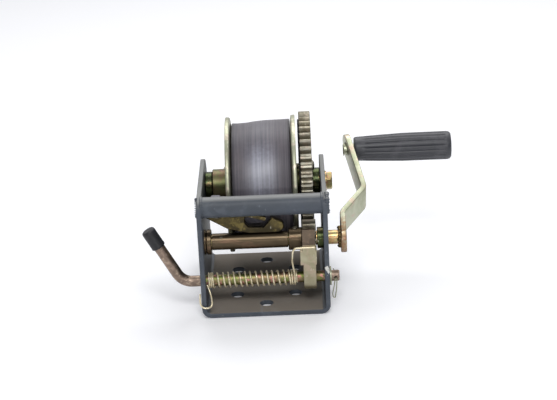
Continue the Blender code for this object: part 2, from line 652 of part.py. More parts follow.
def pawl(axis, finish):
    """The pawl's side outline: a boss on the rod, an arm in front of the pinion and a nose in its teeth."""
    boss = PAWL_BOSS_DIAMETER / 2
    to_pinion = Vector((CRANK_Y - ROD_Y, CRANK_Z - ROD_Z))
    clear = PINION_TIP + 0.8
    nose_angle = math.pi + math.radians(MESH_ANGLE) - 2 * math.pi / PINION_TEETH * 1
    root = MODULE * PINION_TEETH / 2 - MODULE * (1.25 - SHIFT)

    def around_pinion(radius, angle):
        return to_pinion + radius * Vector((math.cos(angle), math.sin(angle)))

    def gap_edge(radius, side):
        free = math.pi / PINION_TEETH - tooth_half_angle(radius, PINION_TEETH, SHIFT) - PAWL_SLIP / radius
        return around_pinion(radius, nose_angle + side * free)

    nose_radii = [clear, PINION_TIP - 0.6, PINION_TIP - 2.2, root + 1.6]
    nose = [gap_edge(r, 1) for r in nose_radii] + [gap_edge(r, -1) for r in reversed(nose_radii)]
    start = math.radians(222)
    low_sweep = nose_angle + math.radians(17) - start
    low_arc = [around_pinion(clear, start + low_sweep * k / 4) for k in range(4)]
    high = around_pinion(clear, nose_angle - math.radians(24))
    front = PAWL_FACE - ROD_Y
    top = to_pinion.y + 18.4
    base = [Vector((boss * math.cos(a), boss * math.sin(a)))
            for a in (math.radians(178 + (400 - 178) * k / 14) for k in range(15))]
    face = [high, Vector((high.x - 0.8, top)), Vector((high.x - 3.4, top)),
            Vector((front + 0.9, to_pinion.y + 9.5)), Vector((front, to_pinion.y + 6)),
            Vector((front, to_pinion.y - 9.5))]
    outline = base + low_arc + nose + face
    body = prism([(p.x, p.y) for p in outline], PAWL_LEFT_X, PAWL_RIGHT_X)
    bmesh.ops.transform(body, matrix=PAWL_BACK, verts=body.verts)
    made = add_object("ratchet_pawl", body, finish, axis)
    hole = bmesh.new()
    drill(hole, GROUND, "X", ROD_DIAMETER / 2 + GAP, 200)
    cut_with(made, hole)
    cuts = bmesh.new()
    shoulder = to_pinion.y - 12.5
    upper = to_pinion.y + 1.5
    left = PAWL_RIGHT_X - 0.8
    for low, high in (((PAWL_LEFT_X - 5, -30, -30), (left - PAWL_BOSS_WIDTH, 30, shoulder)),
                      ((PAWL_LEFT_X - 5, -30, upper), (left - PAWL_NOSE_WIDTH, 30, 90)),
                      ((left, -30, -30), (PAWL_RIGHT_X + 5, 30, shoulder)),
                      ((left, -30, upper), (PAWL_RIGHT_X + 5, 30, 90))):
        box(cuts, low, high)
    bmesh.ops.transform(cuts, matrix=PAWL_BACK, verts=cuts.verts)
    cut_with(made, cuts).name = "ratchet_pawl_step_cutter"


def torsion_spring(finish):
    """The coil on the rod, with one tail hooked round the left plate and the other across the pawl."""
    radius = SPRING_COIL_DIAMETER / 2
    wire = SPRING_WIRE / 2
    start = -INSIDE + wire + GAP
    close = SPRING_CLOSE_TURNS * SPRING_CLOSE_PITCH
    open_pitch = (SPRING_END_X - start - 2 * close) / SPRING_OPEN_TURNS
    turns = SPRING_OPEN_TURNS + 2 * SPRING_CLOSE_TURNS
    steps = 14

    def along(turn):
        if turn < SPRING_CLOSE_TURNS:
            return start + turn * SPRING_CLOSE_PITCH
        if turn > turns - SPRING_CLOSE_TURNS:
            return SPRING_END_X - (turns - turn) * SPRING_CLOSE_PITCH
        return start + close + (turn - SPRING_CLOSE_TURNS) * open_pitch

    coil = []
    for k in range(turns * steps + 1):
        angle = math.radians(200) + 2 * math.pi * k / steps
        coil.append((along(k / steps), ROD_Y + radius * math.cos(angle), ROD_Z + radius * math.sin(angle)))
    ahead = FRONT - wire - 0.4
    plate = -INSIDE
    left = rounded([(-OUTSIDE - 1.2, -9.5 + FRONT + 13, 0), (-OUTSIDE - 1.2, ahead, 1.6),
                    (plate + 4.2, ahead, 2.5),
                    (plate + 3.6, ROD_Y - radius - 2, 0)], 5)
    heights = [20.5, 10.0, 15.0]
    left_tail = []
    for i, (x, y) in enumerate(left):
        share = i / (len(left) - 1)
        height = heights[0] + (heights[1] - heights[0]) * min(1, share * 2) \
            + (heights[2] - heights[1]) * max(0, share * 2 - 1)
        left_tail.append((x, y, height))
    face = PAWL_FACE - wire - GAP - ROD_Y
    wire_z = CRANK_Z - ROD_Z + 5.2
    across = [(SPRING_END_X - 3.2, face + 2.5, 22), (SPRING_END_X - 3.0, face, 28),
              (SPRING_END_X - 1.2, face, wire_z - 2), (SPRING_END_X + 0.8, face, wire_z),
              (PAWL_RIGHT_X - 1, face, wire_z + 0.2)]
    right_tail = [(SPRING_END_X - 1.5, ROD_Y - radius - 3.5, ROD_Z + 6)]
    right_tail += [tuple(ROD + PAWL_BACK @ Vector(point)) for point in across]
    add_object("torsion_spring", tube(left_tail + coil + right_tail, wire, 6), finish)


# ---------------------------------------------------------------- snap hook and strap end

def snap_hook(latch_axis, gold, pale, webbing):
    low = SLEEVE_TOP + GAP

    def at(x, above, radius):
        return (x, low + above, radius)

    eye_x = HOOK_EYE_X
    outline = rounded([
        at(eye_x - 10.8, 16.5, 4), at(eye_x + 8.5, 4.8, 12), at(-12, 0.0, 18), at(13.5, 0.0, 6),
        at(18, 4.6, 4), at(16.5, 9.0, 2.5), at(7.5, 13.4, 1.8), at(4.0, 9.4, 1.2), at(0, 5.0, 2.5),
        at(-12.0, 5.4, 3), at(-15.5, 10.5, 3), at(-14.0, 20.0, 3), at(-22, 25.0, 4), at(eye_x + 8.5, 31.4, 5),
        at(eye_x - 6.5, 31.4, 6), at(eye_x - 10.8, 25.0, 4)], 4)
    body = add_object("hook_body", prism(outline, HOOK_FRONT, HOOK_BACK, axis="Y"), gold)
    bevel = body.modifiers.new("round edges", "BEVEL")
    bevel.width = 1.4 * MM
    bevel.segments = 2
    bevel.limit_method = "ANGLE"
    bevel.angle_limit = math.radians(50)
    cuts = bmesh.new()
    drill(cuts, (HOOK_EYE_X, HOOK_Y, HOOK_EYE_Z), "Y", HOOK_EYE_DIAMETER / 2, HOOK_THICKNESS * 3)
    drill(cuts, LATCH, "Y", LATCH_PIN_DIAMETER / 2 + GAP, HOOK_THICKNESS * 3, 16)
    cut_with(body, cuts)
    slot = bmesh.new()
    box(slot, (LATCH_PIVOT_X - 5, HOOK_Y - LATCH_WIDTH / 2 - GAP, low + 9.5),
        (LATCH_PIVOT_X + 12, HOOK_Y + LATCH_WIDTH / 2 + GAP, low + 40))
    cut_with(body, slot).name = "hook_slot_cutter"

    pin = bmesh.new()
    drill(pin, LATCH, "Y", LATCH_PIN_DIAMETER / 2, HOOK_THICKNESS + 0.8, 16)
    add_object("hook_pin", pin, pale)

    half = LATCH_THICKNESS / 2
    leaf = rounded([(-3.6, -3.2, 3.0), (4, -3.2, 1.5), (7, -half, 2), (LATCH_LENGTH, -half, 1.0),
                    (LATCH_LENGTH, half, 1.0), (7, half, 2), (4, 3.2, 1.5), (-3.6, 3.2, 3.0)], 3)
    latch = prism(leaf, -LATCH_WIDTH / 2, LATCH_WIDTH / 2, axis="Y")
    turn = Matrix.Rotation(-math.radians(LATCH_SLOPE), 4, "Y")
    bmesh.ops.transform(latch, matrix=turn, verts=latch.verts)
    latch_object = add_object("hook_latch", latch, pale, latch_axis)
    hole = bmesh.new()
    drill(hole, GROUND, "Y", LATCH_PIN_DIAMETER / 2 + GAP, HOOK_THICKNESS * 3, 16)
    cut_with(latch_object, hole)

    # The sewn loop passes through the hook's eye and over its top rim.
    half = STRAP_THICKNESS / 2
    top = low + 31.4
    before = HOOK_FRONT - GAP - half
    behind = HOOK_BACK + GAP + half
    path = rounded([(before, HOOK_EYE_Z + 2.6, 1.5), (behind, HOOK_EYE_Z + 2.6, 1.5),
                    (behind, top + GAP + half, 1.5), (before, top + GAP + half, 1.5)],
                   4)
    width = HOOK_EYE_DIAMETER * 0.32
    sections = []
    for i, (y, z) in enumerate(path):
        before = Vector(path[i - 1])
        after = Vector(path[(i + 1) % len(path)])
        normal = (after - before).normalized().orthogonal() * half
        sections.append([Vector((HOOK_EYE_X - width, y - normal.x, z - normal.y)),
                         Vector((HOOK_EYE_X + width, y - normal.x, z - normal.y)),
                         Vector((HOOK_EYE_X + width, y + normal.x, z + normal.y)),
                         Vector((HOOK_EYE_X - width, y + normal.x, z + normal.y))])
    bm = bmesh.new()
    add_loft(bm, sections, ring=True)
    add_object("strap_loop", bm, webbing)

    # The strap's end leaves the roll, narrows and runs in front of the flange to the loop.
    back = HOOK_BACK + GAP + 2 * half + GAP + half
    roll_front = AXLE_Y - ROLL_RIGHT_DIAMETER / 2
    stations = [((-4, roll_front - 0.4, SLEEVE_TOP + 4), 34, (1, 0, 0)),
                ((-10, roll_front - 1.2, SLEEVE_TOP + 12), 26, (0.9, 0, 0.3)),
                ((-21, back + 0.2, SLEEVE_TOP + 20), 17, (0.65, 0, 0.75)),
                ((-31, back, SLEEVE_TOP + 25.5), 11, (0.4, 0, 0.9)),
                ((HOOK_EYE_X - 3, back, SLEEVE_TOP + 27.5), 8, (0.2, 0, 1))]
    sections = []
    for (x, y, z), wide, across in stations:
        side = Vector(across).normalized() * wide / 2
        thick = Vector((0, half, 0))
        middle = Vector((x, y, z))
        sections.append([middle - side - thick, middle + side - thick,
                         middle + side + thick, middle - side + thick])
    bm = bmesh.new()
    add_loft(bm, sections)
    add_object("strap_tail", bm, webbing)


# ---------------------------------------------------------------- the winch

def build():
    for old in list(bpy.data.objects):
        bpy.data.objects.remove(old, do_unlink=True)
    paint = material("frame_paint", (0.075, 0.095, 0.125), 0.45, 0.0)
    zinc = material("yellow_zinc", (0.55, 0.47, 0.27), 0.35, 1.0)
    olive = material("olive_zinc", (0.36, 0.36, 0.27), 0.4, 1.0)
    green = material("green_zinc", (0.16, 0.20, 0.10), 0.35, 1.0)
    brown = material("brown_zinc", (0.26, 0.19, 0.13), 0.35, 1.0)
    steel = material("gear_steel", (0.36, 0.31, 0.24), 0.4, 1.0)
    pale = material("pale_zinc", (0.62, 0.58, 0.42), 0.35, 1.0)
    rubber = material("black_rubber", (0.03, 0.03, 0.035), 0.6, 0.0)
    webbing = material("webbing", (0.13, 0.12, 0.14), 0.8, 0.0)

    drum_axis = empty("drum_axis", AXLE)
    crank_axis = empty("crank_axis", CRANK)
    grip_axis = empty("grip_axis", GRIP)
    ratchet_axis = empty("ratchet_axis", ROD)
    latch_axis = empty("latch_axis", LATCH)

    frame_channel(paint)
    ends = [(-INSIDE + GAP, TUBE_DIAMETER / 2), (INSIDE - GAP, TUBE_DIAMETER / 2)]
    add_object("cross_tube", solid_turning(ends, 32, Vector((0, TUBE_Y, TUBE_Z))), paint)
    axle_parts(zinc, green)
    frame_bushes(zinc)
    drum(drum_axis, olive, steel, green, webbing)
    crank_parts(crank_axis, brown, steel, zinc)
    crank_arm(crank_axis, pale)
    grip_parts(crank_axis, grip_axis, zinc, rubber)
    ratchet_rod(ratchet_axis, brown, rubber, pale)
    pawl(ratchet_axis, pale)
    torsion_spring(pale)
    snap_hook(latch_axis, zinc, pale, webbing)


build()
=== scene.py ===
# %% [markdown]
# # A boat trailer winch, finished around its working frame
#
# The winch is a bent steel channel that carries a webbing drum, a large spur gear, a hand crank
# with its pinion, and a sprung ratchet lever. The frame file gives every piece's size and place
# and all its joints. This lesson gives each piece its final shape and finish, and never moves
# anything.

# %% Load the frame
import json
import math

import bmesh
import bpy
from mathutils import Matrix, Vector, noise


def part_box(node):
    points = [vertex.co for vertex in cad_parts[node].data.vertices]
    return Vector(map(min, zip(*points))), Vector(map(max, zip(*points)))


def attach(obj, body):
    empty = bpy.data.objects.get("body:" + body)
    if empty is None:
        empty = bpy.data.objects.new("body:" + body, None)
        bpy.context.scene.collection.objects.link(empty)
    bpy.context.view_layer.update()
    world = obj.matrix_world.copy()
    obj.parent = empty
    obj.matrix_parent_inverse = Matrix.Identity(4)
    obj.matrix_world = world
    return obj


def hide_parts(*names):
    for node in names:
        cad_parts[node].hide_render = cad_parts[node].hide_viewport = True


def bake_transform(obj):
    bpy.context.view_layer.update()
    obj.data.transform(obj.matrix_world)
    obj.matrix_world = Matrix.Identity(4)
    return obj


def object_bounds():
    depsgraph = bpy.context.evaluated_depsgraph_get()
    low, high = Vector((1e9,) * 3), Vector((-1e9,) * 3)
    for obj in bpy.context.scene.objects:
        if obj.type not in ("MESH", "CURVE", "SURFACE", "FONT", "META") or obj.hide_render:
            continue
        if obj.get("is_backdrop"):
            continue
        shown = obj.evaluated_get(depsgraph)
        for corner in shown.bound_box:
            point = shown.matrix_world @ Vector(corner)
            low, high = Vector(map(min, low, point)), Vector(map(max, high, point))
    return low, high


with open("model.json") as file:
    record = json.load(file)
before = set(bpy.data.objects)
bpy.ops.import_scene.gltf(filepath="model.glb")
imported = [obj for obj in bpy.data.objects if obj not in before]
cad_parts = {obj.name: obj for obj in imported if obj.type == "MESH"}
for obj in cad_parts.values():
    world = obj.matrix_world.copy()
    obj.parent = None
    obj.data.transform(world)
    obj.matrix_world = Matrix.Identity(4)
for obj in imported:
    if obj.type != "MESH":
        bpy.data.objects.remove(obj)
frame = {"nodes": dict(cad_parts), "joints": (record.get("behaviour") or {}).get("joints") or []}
CAD_BOX = [list(corner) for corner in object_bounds()]
MM = 0.001
JOINT_PLACES = {joint["name"]: joint["pos_m"] for joint in frame["joints"]}


def joint_place(name):
    """A joint's place in millimetres."""
    return Vector(JOINT_PLACES[name]) / MM


def node_box(name):
    """A CAD node's lowest and highest corners in millimetres."""
    low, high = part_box(name)
    return Vector(low) / MM, Vector(high) / MM


AXLE = joint_place("drum_spin")
CRANK = joint_place("crank_spin")
GRIP = joint_place("grip_spin")
ROD = joint_place("ratchet_lever")
LATCH = joint_place("latch_hinge")
print("frame", len(frame["nodes"]), "nodes, box in mm", [[round(v / MM, 1) for v in c] for c in CAD_BOX])

# %% [markdown]
# The camera stands in front of the cross tube, a little to the crank side and about twenty
# degrees above the winch. It is a long lens from well back, so the two side plates stay nearly
# parallel. It is rolled by a few degrees, because the winch was set down slightly askew to the
# frame.

# %% Camera
CAMERA_PLACE = Vector((29.5, -1312.2, 607.1)) * MM
CAMERA_AHEAD = Vector((-0.01135, 0.92779, -0.37294)).normalized()
CAMERA_ROLL = math.radians(2.65)
CAMERA_LENS = 106.5

right = CAMERA_AHEAD.cross(Vector((0, 0, 1))).normalized()
up = right.cross(CAMERA_AHEAD)
rolled_right = right * math.cos(CAMERA_ROLL) - up * math.sin(CAMERA_ROLL)
rolled_up = up * math.cos(CAMERA_ROLL) + right * math.sin(CAMERA_ROLL)
camera = bpy.data.objects.new("camera", bpy.data.cameras.new("camera"))
bpy.context.scene.collection.objects.link(camera)
camera.data.lens = CAMERA_LENS
camera.data.sensor_width = 36.0
camera.matrix_world = Matrix((
    (rolled_right.x, rolled_up.x, -CAMERA_AHEAD.x, CAMERA_PLACE.x),
    (rolled_right.y, rolled_up.y, -CAMERA_AHEAD.y, CAMERA_PLACE.y),
    (rolled_right.z, rolled_up.z, -CAMERA_AHEAD.z, CAMERA_PLACE.z),
    (0, 0, 0, 1)))
bpy.context.scene.camera = camera
print("camera", tuple(round(v, 3) for v in CAMERA_PLACE))


# %% [markdown]
# ## Building node trees
#
# Shader and geometry trees are both lists of nodes with linked sockets. One small helper adds a
# node, sets its options, and either links a socket to each input or writes a value into it. It
# keeps the later cells short.

# %% A helper for node trees
def add_node(tree, kind, options=None, **inputs):
    """Adds a node. Each input is named by its socket, with _ for a space, and takes a socket or a value."""
    made = tree.nodes.new(kind)
    for name, value in (options or {}).items():
        setattr(made, name, value)
    for name, value in inputs.items():
        socket = made.inputs[int(name[1:])] if name[0] == "i" and name[1:].isdigit() else made.inputs[
            name.replace("_", " ")]
        if isinstance(value, bpy.types.NodeSocket):
            tree.links.new(value, socket)
        else:
            socket.default_value = value
    return made


def maths(tree, operation, first, second=0.0, clamp=False):
    made = add_node(tree, "ShaderNodeMath", {"operation": operation, "use_clamp": clamp}, i0=first, i1=second)
    return made.outputs[0]


def blend_colours(tree, share, first, second, how="MIX"):
    made = tree.nodes.new("ShaderNodeMix")
    made.data_type = "RGBA"
    made.blend_type = how
    for socket, value in ((made.inputs[0], share), (made.inputs[6], first), (made.inputs[7], second)):
        if isinstance(value, bpy.types.NodeSocket):
            tree.links.new(value, socket)
        else:
            socket.default_value = value
    return made.outputs[2]


def ramp(tree, value, low, high):
    """0 below low, 1 above high, smooth between."""
    made = add_node(tree, "ShaderNodeMapRange", {"interpolation_type": "SMOOTHSTEP"},
                    Value=value, From_Min=low, From_Max=high)
    return made.outputs[0]


def srgb(red, green, blue):
    """A screen colour, 0 to 255, as the linear colour that shaders use."""
    return tuple(((c / 255 + 0.055) / 1.055) ** 2.4 if c > 10 else c / 3294.6 for c in (red, green, blue)) + (1.0,)


# %% [markdown]
# ## Stage and light
#
# A winch sold from a studio table stands on a white sweep. The floor is a pale plane that keeps
# the shadow. The world is white to the lens and in reflections from behind and above, and darker
# from the front, where the room behind the photographer would be. That contrast is what makes
# zinc plating read as metal.

# %% Floor and world
floor_mesh = bpy.data.meshes.new("floor")
floor_mesh.from_pydata([(-6, -6, 0), (6, -6, 0), (6, 6, 0), (-6, 6, 0)], [], [(0, 1, 2, 3)])
floor = bpy.data.objects.new("floor", floor_mesh)
floor.location.z = -0.0003
bpy.context.scene.collection.objects.link(floor)
floor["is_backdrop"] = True
floor_material = bpy.data.materials.new("sweep")
floor_material.use_nodes = True
tree = floor_material.node_tree
tree.nodes["Principled BSDF"].inputs["Base Color"].default_value = srgb(240, 241, 244)
tree.nodes["Principled BSDF"].inputs["Roughness"].default_value = 0.9
tree.nodes["Principled BSDF"].inputs["Emission Color"].default_value = srgb(250, 250, 252)
tree.nodes["Principled BSDF"].inputs["Emission Strength"].default_value = 0.17
floor_mesh.materials.append(floor_material)

world = bpy.data.worlds.new("studio")
bpy.context.scene.world = world
world.use_nodes = True
tree = world.node_tree
tree.nodes.clear()
direction = add_node(tree, "ShaderNodeTexCoord").outputs["Generated"]
parts = add_node(tree, "ShaderNodeSeparateXYZ", Vector=direction)
back_and_up = maths(tree, "ADD", parts.outputs["Y"], maths(tree, "MULTIPLY", parts.outputs["Z"], 0.9))
glossy = blend_colours(tree, ramp(tree, back_and_up, -0.75, 0.75), srgb(88, 90, 94), srgb(250, 250, 252))
path = add_node(tree, "ShaderNodeLightPath")
diffuse_light = add_node(tree, "ShaderNodeBackground", Color=srgb(250, 250, 252), Strength=0.42)
mirror_light = add_node(tree, "ShaderNodeBackground", Color=glossy, Strength=1.0)
lens_light = add_node(tree, "ShaderNodeBackground", Color=srgb(246, 247, 250), Strength=1.0)
seen = maths(tree, "MAXIMUM", path.outputs["Is Glossy Ray"], path.outputs["Is Transmission Ray"])
first_mix = add_node(tree, "ShaderNodeMixShader", Fac=seen, i1=diffuse_light.outputs[0], i2=mirror_light.outputs[0])
second_mix = add_node(tree, "ShaderNodeMixShader", Fac=path.outputs["Is Camera Ray"], i1=first_mix.outputs[0],
                      i2=lens_light.outputs[0])
add_node(tree, "ShaderNodeOutputWorld", Surface=second_mix.outputs[0])
bpy.context.scene.view_settings.view_transform = "Standard"
print("floor and world made")


# %% [markdown]
# Three soft panels do the lighting. The first hangs in front and above, which puts the broad
# highlight on the webbing. The second is a low strip in front, which reaches the base and the
# sleeve under the cross tube. The third hangs over the back, which lights the top of the cross
# tube and rims the flanges.

# %% Soft panels
def soft_panel(name, place, target, size, watts):
    lamp = bpy.data.lights.new(name, "AREA")
    lamp.shape = "RECTANGLE"
    lamp.size = size[0]
    lamp.size_y = size[1]
    lamp.energy = watts
    made = bpy.data.objects.new(name, lamp)
    bpy.context.scene.collection.objects.link(made)
    made.location = place
    made.rotation_euler = (Vector(target) - Vector(place)).to_track_quat("-Z", "Y").to_euler()


soft_panel("front_panel", (0.05, -0.95, 1.12), (0, 0, 0.09), (0.5, 0.42), 7.5)
soft_panel("low_panel", (0.1, -1.25, 0.34), (0, 0, 0.03), (0.8, 0.10), 2.6)
soft_panel("back_panel", (0.15, 0.75, 1.15), (0, 0, 0.09), (1.3, 0.7), 10.0)
print("three panels made")


# %% [markdown]
# ## Shared finish effects
#
# Several materials need the same three effects, so each is a shader node group that is built
# once: cloudy colour, as plating has; fine scratches; and grime that gathers in patches. All of
# them read Object coordinates, which are in metres here, so a scale of 200 gives spots of about
# five millimetres.

# %% Effect groups
def new_group(name, inputs, outputs):
    group = bpy.data.node_groups.new(name, "ShaderNodeTree")
    for label, kind, value in inputs:
        socket = group.interface.new_socket(label, in_out="INPUT", socket_type=kind)
        if value is not None:
            socket.default_value = value
    for label, kind in outputs:
        group.interface.new_socket(label, in_out="OUTPUT", socket_type=kind)
    start = group.nodes.new("NodeGroupInput")
    end = group.nodes.new("NodeGroupOutput")
    return group, start, end


cloudy, start, end = new_group(
    "cloudy plating",
    [("Vector", "NodeSocketVector", None), ("Scale", "NodeSocketFloat", 60.0),
     ("First", "NodeSocketColor", None), ("Second", "NodeSocketColor", None), ("Third", "NodeSocketColor", None),
     ("Spread", "NodeSocketFloat", 0.12)],
    [("Color", "NodeSocketColor"), ("Mask", "NodeSocketFloat")])
broad = add_node(cloudy, "ShaderNodeTexNoise", Vector=start.outputs["Vector"], Scale=start.outputs["Scale"],
                 Detail=4.0, Roughness=0.6, Distortion=0.6).outputs[0]
finer_scale = maths(cloudy, "MULTIPLY", start.outputs["Scale"], 3.1)
fine = add_node(cloudy, "ShaderNodeTexNoise", Vector=start.outputs["Vector"], Scale=finer_scale,
                Detail=3.0, Roughness=0.55, Distortion=0.3).outputs[0]
low_edge = maths(cloudy, "SUBTRACT", 0.5, start.outputs["Spread"])
high_edge = maths(cloudy, "ADD", 0.5, start.outputs["Spread"])
first_share = ramp(cloudy, broad, low_edge, high_edge)
second_share = ramp(cloudy, fine, 0.52, 0.66)
two = blend_colours(cloudy, first_share, start.outputs["First"], start.outputs["Second"])
three = blend_colours(cloudy, second_share, two, start.outputs["Third"])
cloudy.links.new(three, end.inputs["Color"])
cloudy.links.new(first_share, end.inputs["Mask"])

scratched, start, end = new_group(
    "scratches",
    [("Vector", "NodeSocketVector", None), ("Scale", "NodeSocketFloat", 300.0), ("Amount", "NodeSocketFloat", 0.5)],
    [("Mask", "NodeSocketFloat")])
masks = []
for turn in (0.3, 1.5, 2.5):
    turned = add_node(scratched, "ShaderNodeMapping", Vector=start.outputs["Vector"], Rotation=(turn, turn * 2, turn),
                      Scale=(1.0, 0.05, 0.6))
    streak = add_node(scratched, "ShaderNodeTexNoise", Vector=turned.outputs[0], Scale=start.outputs["Scale"],
                      Detail=2.0, Roughness=0.5).outputs[0]
    masks.append(ramp(scratched, streak, 0.70, 0.76))
joined = maths(scratched, "MAXIMUM", maths(scratched, "MAXIMUM", masks[0], masks[1]), masks[2])
scratched.links.new(maths(scratched, "MULTIPLY", joined, start.outputs["Amount"]), end.inputs["Mask"])

grimy, start, end = new_group(
    "grime",
    [("Vector", "NodeSocketVector", None), ("Scale", "NodeSocketFloat", 40.0), ("Amount", "NodeSocketFloat", 0.5)],
    [("Mask", "NodeSocketFloat"), ("Grain", "NodeSocketFloat")])
patches = add_node(grimy, "ShaderNodeTexNoise", Vector=start.outputs["Vector"], Scale=start.outputs["Scale"],
                   Detail=6.0, Roughness=0.65).outputs[0]
speckle = add_node(grimy, "ShaderNodeTexNoise", Vector=start.outputs["Vector"], Scale=1400.0,
                   Detail=2.0, Roughness=0.6).outputs[0]
grimy.links.new(maths(grimy, "MULTIPLY", ramp(grimy, patches, 0.48, 0.70), start.outputs["Amount"]),
                end.inputs["Mask"])
grimy.links.new(speckle, end.inputs["Grain"])
print("groups", [g.name for g in bpy.data.node_groups])


def use_group(tree, group, **inputs):
    made = tree.nodes.new("ShaderNodeGroup")
    made.node_tree = group
    for name, value in inputs.items():
        if isinstance(value, bpy.types.NodeSocket):
            tree.links.new(value, made.inputs[name])
        else:
            made.inputs[name].default_value = value
    return made


# %% [markdown]
# ## Zinc plating
#
# Most of the hardware is steel with a zinc coat that has been dipped in chromate. That film is
# thin enough to shimmer from straw through olive to pink and brown, in clouds. Each plated finish
# here is the same recipe with three colours: two broad clouds and a finer third. A soft bump from
# fine noise keeps the highlights from looking like chrome, and grime dulls it in patches.

# %% Plated finishes
def start_material(name):
    made = bpy.data.materials.new(name)
    made.use_nodes = True
    tree = made.node_tree
    shader = tree.nodes["Principled BSDF"]
    place = add_node(tree, "ShaderNodeTexCoord").outputs["Object"]
    return made, tree, shader, place


def plated(name, first, second, third, roughness=0.34, cloud=60.0, grime=0.35, grime_colour=(60, 52, 40), bump=0.25,
           stretch=(1, 1, 1)):
    made, tree, shader, place = start_material(name)
    if stretch != (1, 1, 1):
        place = add_node(tree, "ShaderNodeMapping", Vector=place, Scale=stretch).outputs[0]
    clouds = use_group(tree, cloudy, Vector=place, Scale=cloud, First=srgb(*first), Second=srgb(*second),
                       Third=srgb(*third))
    dirt = use_group(tree, grimy, Vector=place, Scale=cloud * 0.8, Amount=grime)
    lines = use_group(tree, scratched, Vector=place, Scale=260.0, Amount=0.35)
    colour = blend_colours(tree, dirt.outputs["Mask"], clouds.outputs["Color"], srgb(*grime_colour))
    colour = blend_colours(tree, lines.outputs["Mask"], colour, srgb(225, 222, 205))
    tree.links.new(colour, shader.inputs["Base Color"])
    rough = maths(tree, "ADD", roughness, maths(tree, "MULTIPLY", dirt.outputs["Mask"], 0.3))
    tree.links.new(rough, shader.inputs["Roughness"])
    shader.inputs["Metallic"].default_value = 1.0
    relief = add_node(tree, "ShaderNodeBump", Strength=bump, Distance=0.0002, Height=dirt.outputs["Grain"])
    tree.links.new(relief.outputs[0], shader.inputs["Normal"])
    return made


olive_zinc = plated("olive zinc", (172, 173, 150), (150, 152, 132), (186, 176, 160), 0.42, 45.0, 0.3)
pale_zinc = plated("pale zinc", (178, 180, 158), (160, 164, 138), (182, 166, 148), 0.38, 40.0, 0.25, (112, 102, 82))
yellow_zinc = plated("yellow zinc", (184, 154, 106), (168, 164, 118), (176, 112, 98), 0.32, 190.0, 0.5)
gold_zinc = plated("gold zinc", (84, 75, 50), (58, 52, 38), (104, 93, 58), 0.18, 60.0, 0.3, (42, 37, 26), 0.4)
green_zinc = plated("green zinc", (72, 80, 50), (52, 58, 40), (98, 86, 62), 0.28, 60.0, 0.35, (30, 30, 24))
hub_zinc = plated("hub zinc", (98, 104, 70), (104, 78, 68), (118, 86, 78), 0.42, 26.0, 0.35)
brown_zinc = plated("brown zinc", (88, 76, 60), (76, 66, 52), (104, 84, 68), 0.34, 50.0, 0.25, (48, 42, 32),
                    stretch=(0.25, 1, 1))
gear_zinc = plated("gear zinc", (154, 151, 138), (130, 124, 108), (156, 146, 132), 0.44, 60.0, 0.4, (80, 68, 54))
# Near-black painted shade, for the ring in the gap between the gear wheel and the drum.
gap_shade_black = plated("gap shade black", (26, 26, 28), (34, 32, 32), (40, 36, 34), 0.5, 60.0, 0.2, (20, 20, 20))
rod_zinc = plated("rod zinc", (152, 132, 118), (128, 112, 100), (170, 152, 134), 0.42, 90.0, 0.35, (70, 60, 52),
                  bump=0.5)
wire_zinc = plated("wire zinc", (226, 214, 182), (208, 194, 158), (236, 226, 200), 0.34, 200.0, 0.15)
wire_zinc.node_tree.nodes["Principled BSDF"].inputs["Metallic"].default_value = 0.55
burnt_zinc = plated("burnt zinc", (112, 98, 66), (84, 72, 50), (146, 120, 82), 0.48, 180.0, 0.5, (42, 36, 26), 0.8)


def overlay(made, mask, colour):
    """Lays a colour over a finish where the mask is 1. Both are built from the finish's tree and its place socket."""
    tree = made.node_tree
    shader = tree.nodes["Principled BSDF"]
    under = shader.inputs["Base Color"].links[0].from_socket
    place = add_node(tree, "ShaderNodeTexCoord").outputs["Object"]
    tree.links.new(blend_colours(tree, mask(tree, place), under, colour(tree, place)), shader.inputs["Base Color"])
    return made


def between(axis, low, high, soft):
    """A mask that is 1 between two places along an axis, in millimetres."""
    def build(tree, place):
        here = add_node(tree, "ShaderNodeSeparateXYZ", Vector=place).outputs[axis]
        rise = ramp(tree, here, (low - soft) * MM, (low + soft) * MM)
        fall = ramp(tree, here, (high - soft) * MM, (high + soft) * MM)
        return maths(tree, "SUBTRACT", rise, fall, True)
    return build


def clouds_of(first, second, third, scale):
    def build(tree, place):
        return use_group(tree, cloudy, Vector=place, Scale=scale, First=srgb(*first), Second=srgb(*second),
                         Third=srgb(*third)).outputs["Color"]
    return build


def near(point, reach, soft, stretch=(1, 1, 1)):
    """A mask that is 1 around a place, given in millimetres, with a slightly ragged edge."""
    def build(tree, place):
        away = add_node(tree, "ShaderNodeVectorMath", {"operation": "SUBTRACT"}, i0=place, i1=Vector(point) * MM)
        shaped = add_node(tree, "ShaderNodeMapping", Vector=away.outputs[0], Scale=stretch)
        far = add_node(tree, "ShaderNodeVectorMath", {"operation": "LENGTH"}, i0=shaped.outputs[0])
        ragged = add_node(tree, "ShaderNodeTexNoise", Vector=place, Scale=380.0, Detail=3.0).outputs[0]
        edge = maths(tree, "ADD", far.outputs["Value"], maths(tree, "MULTIPLY", maths(tree, "SUBTRACT", ragged, 0.5),
                                                              reach * MM * 0.8))
        return maths(tree, "SUBTRACT", 1.0, ramp(tree, edge, (reach - soft) * MM, (reach + soft) * MM), True)
    return build


def plain(red, green, blue):
    def build(tree, place):
        return srgb(red, green, blue)
    return build


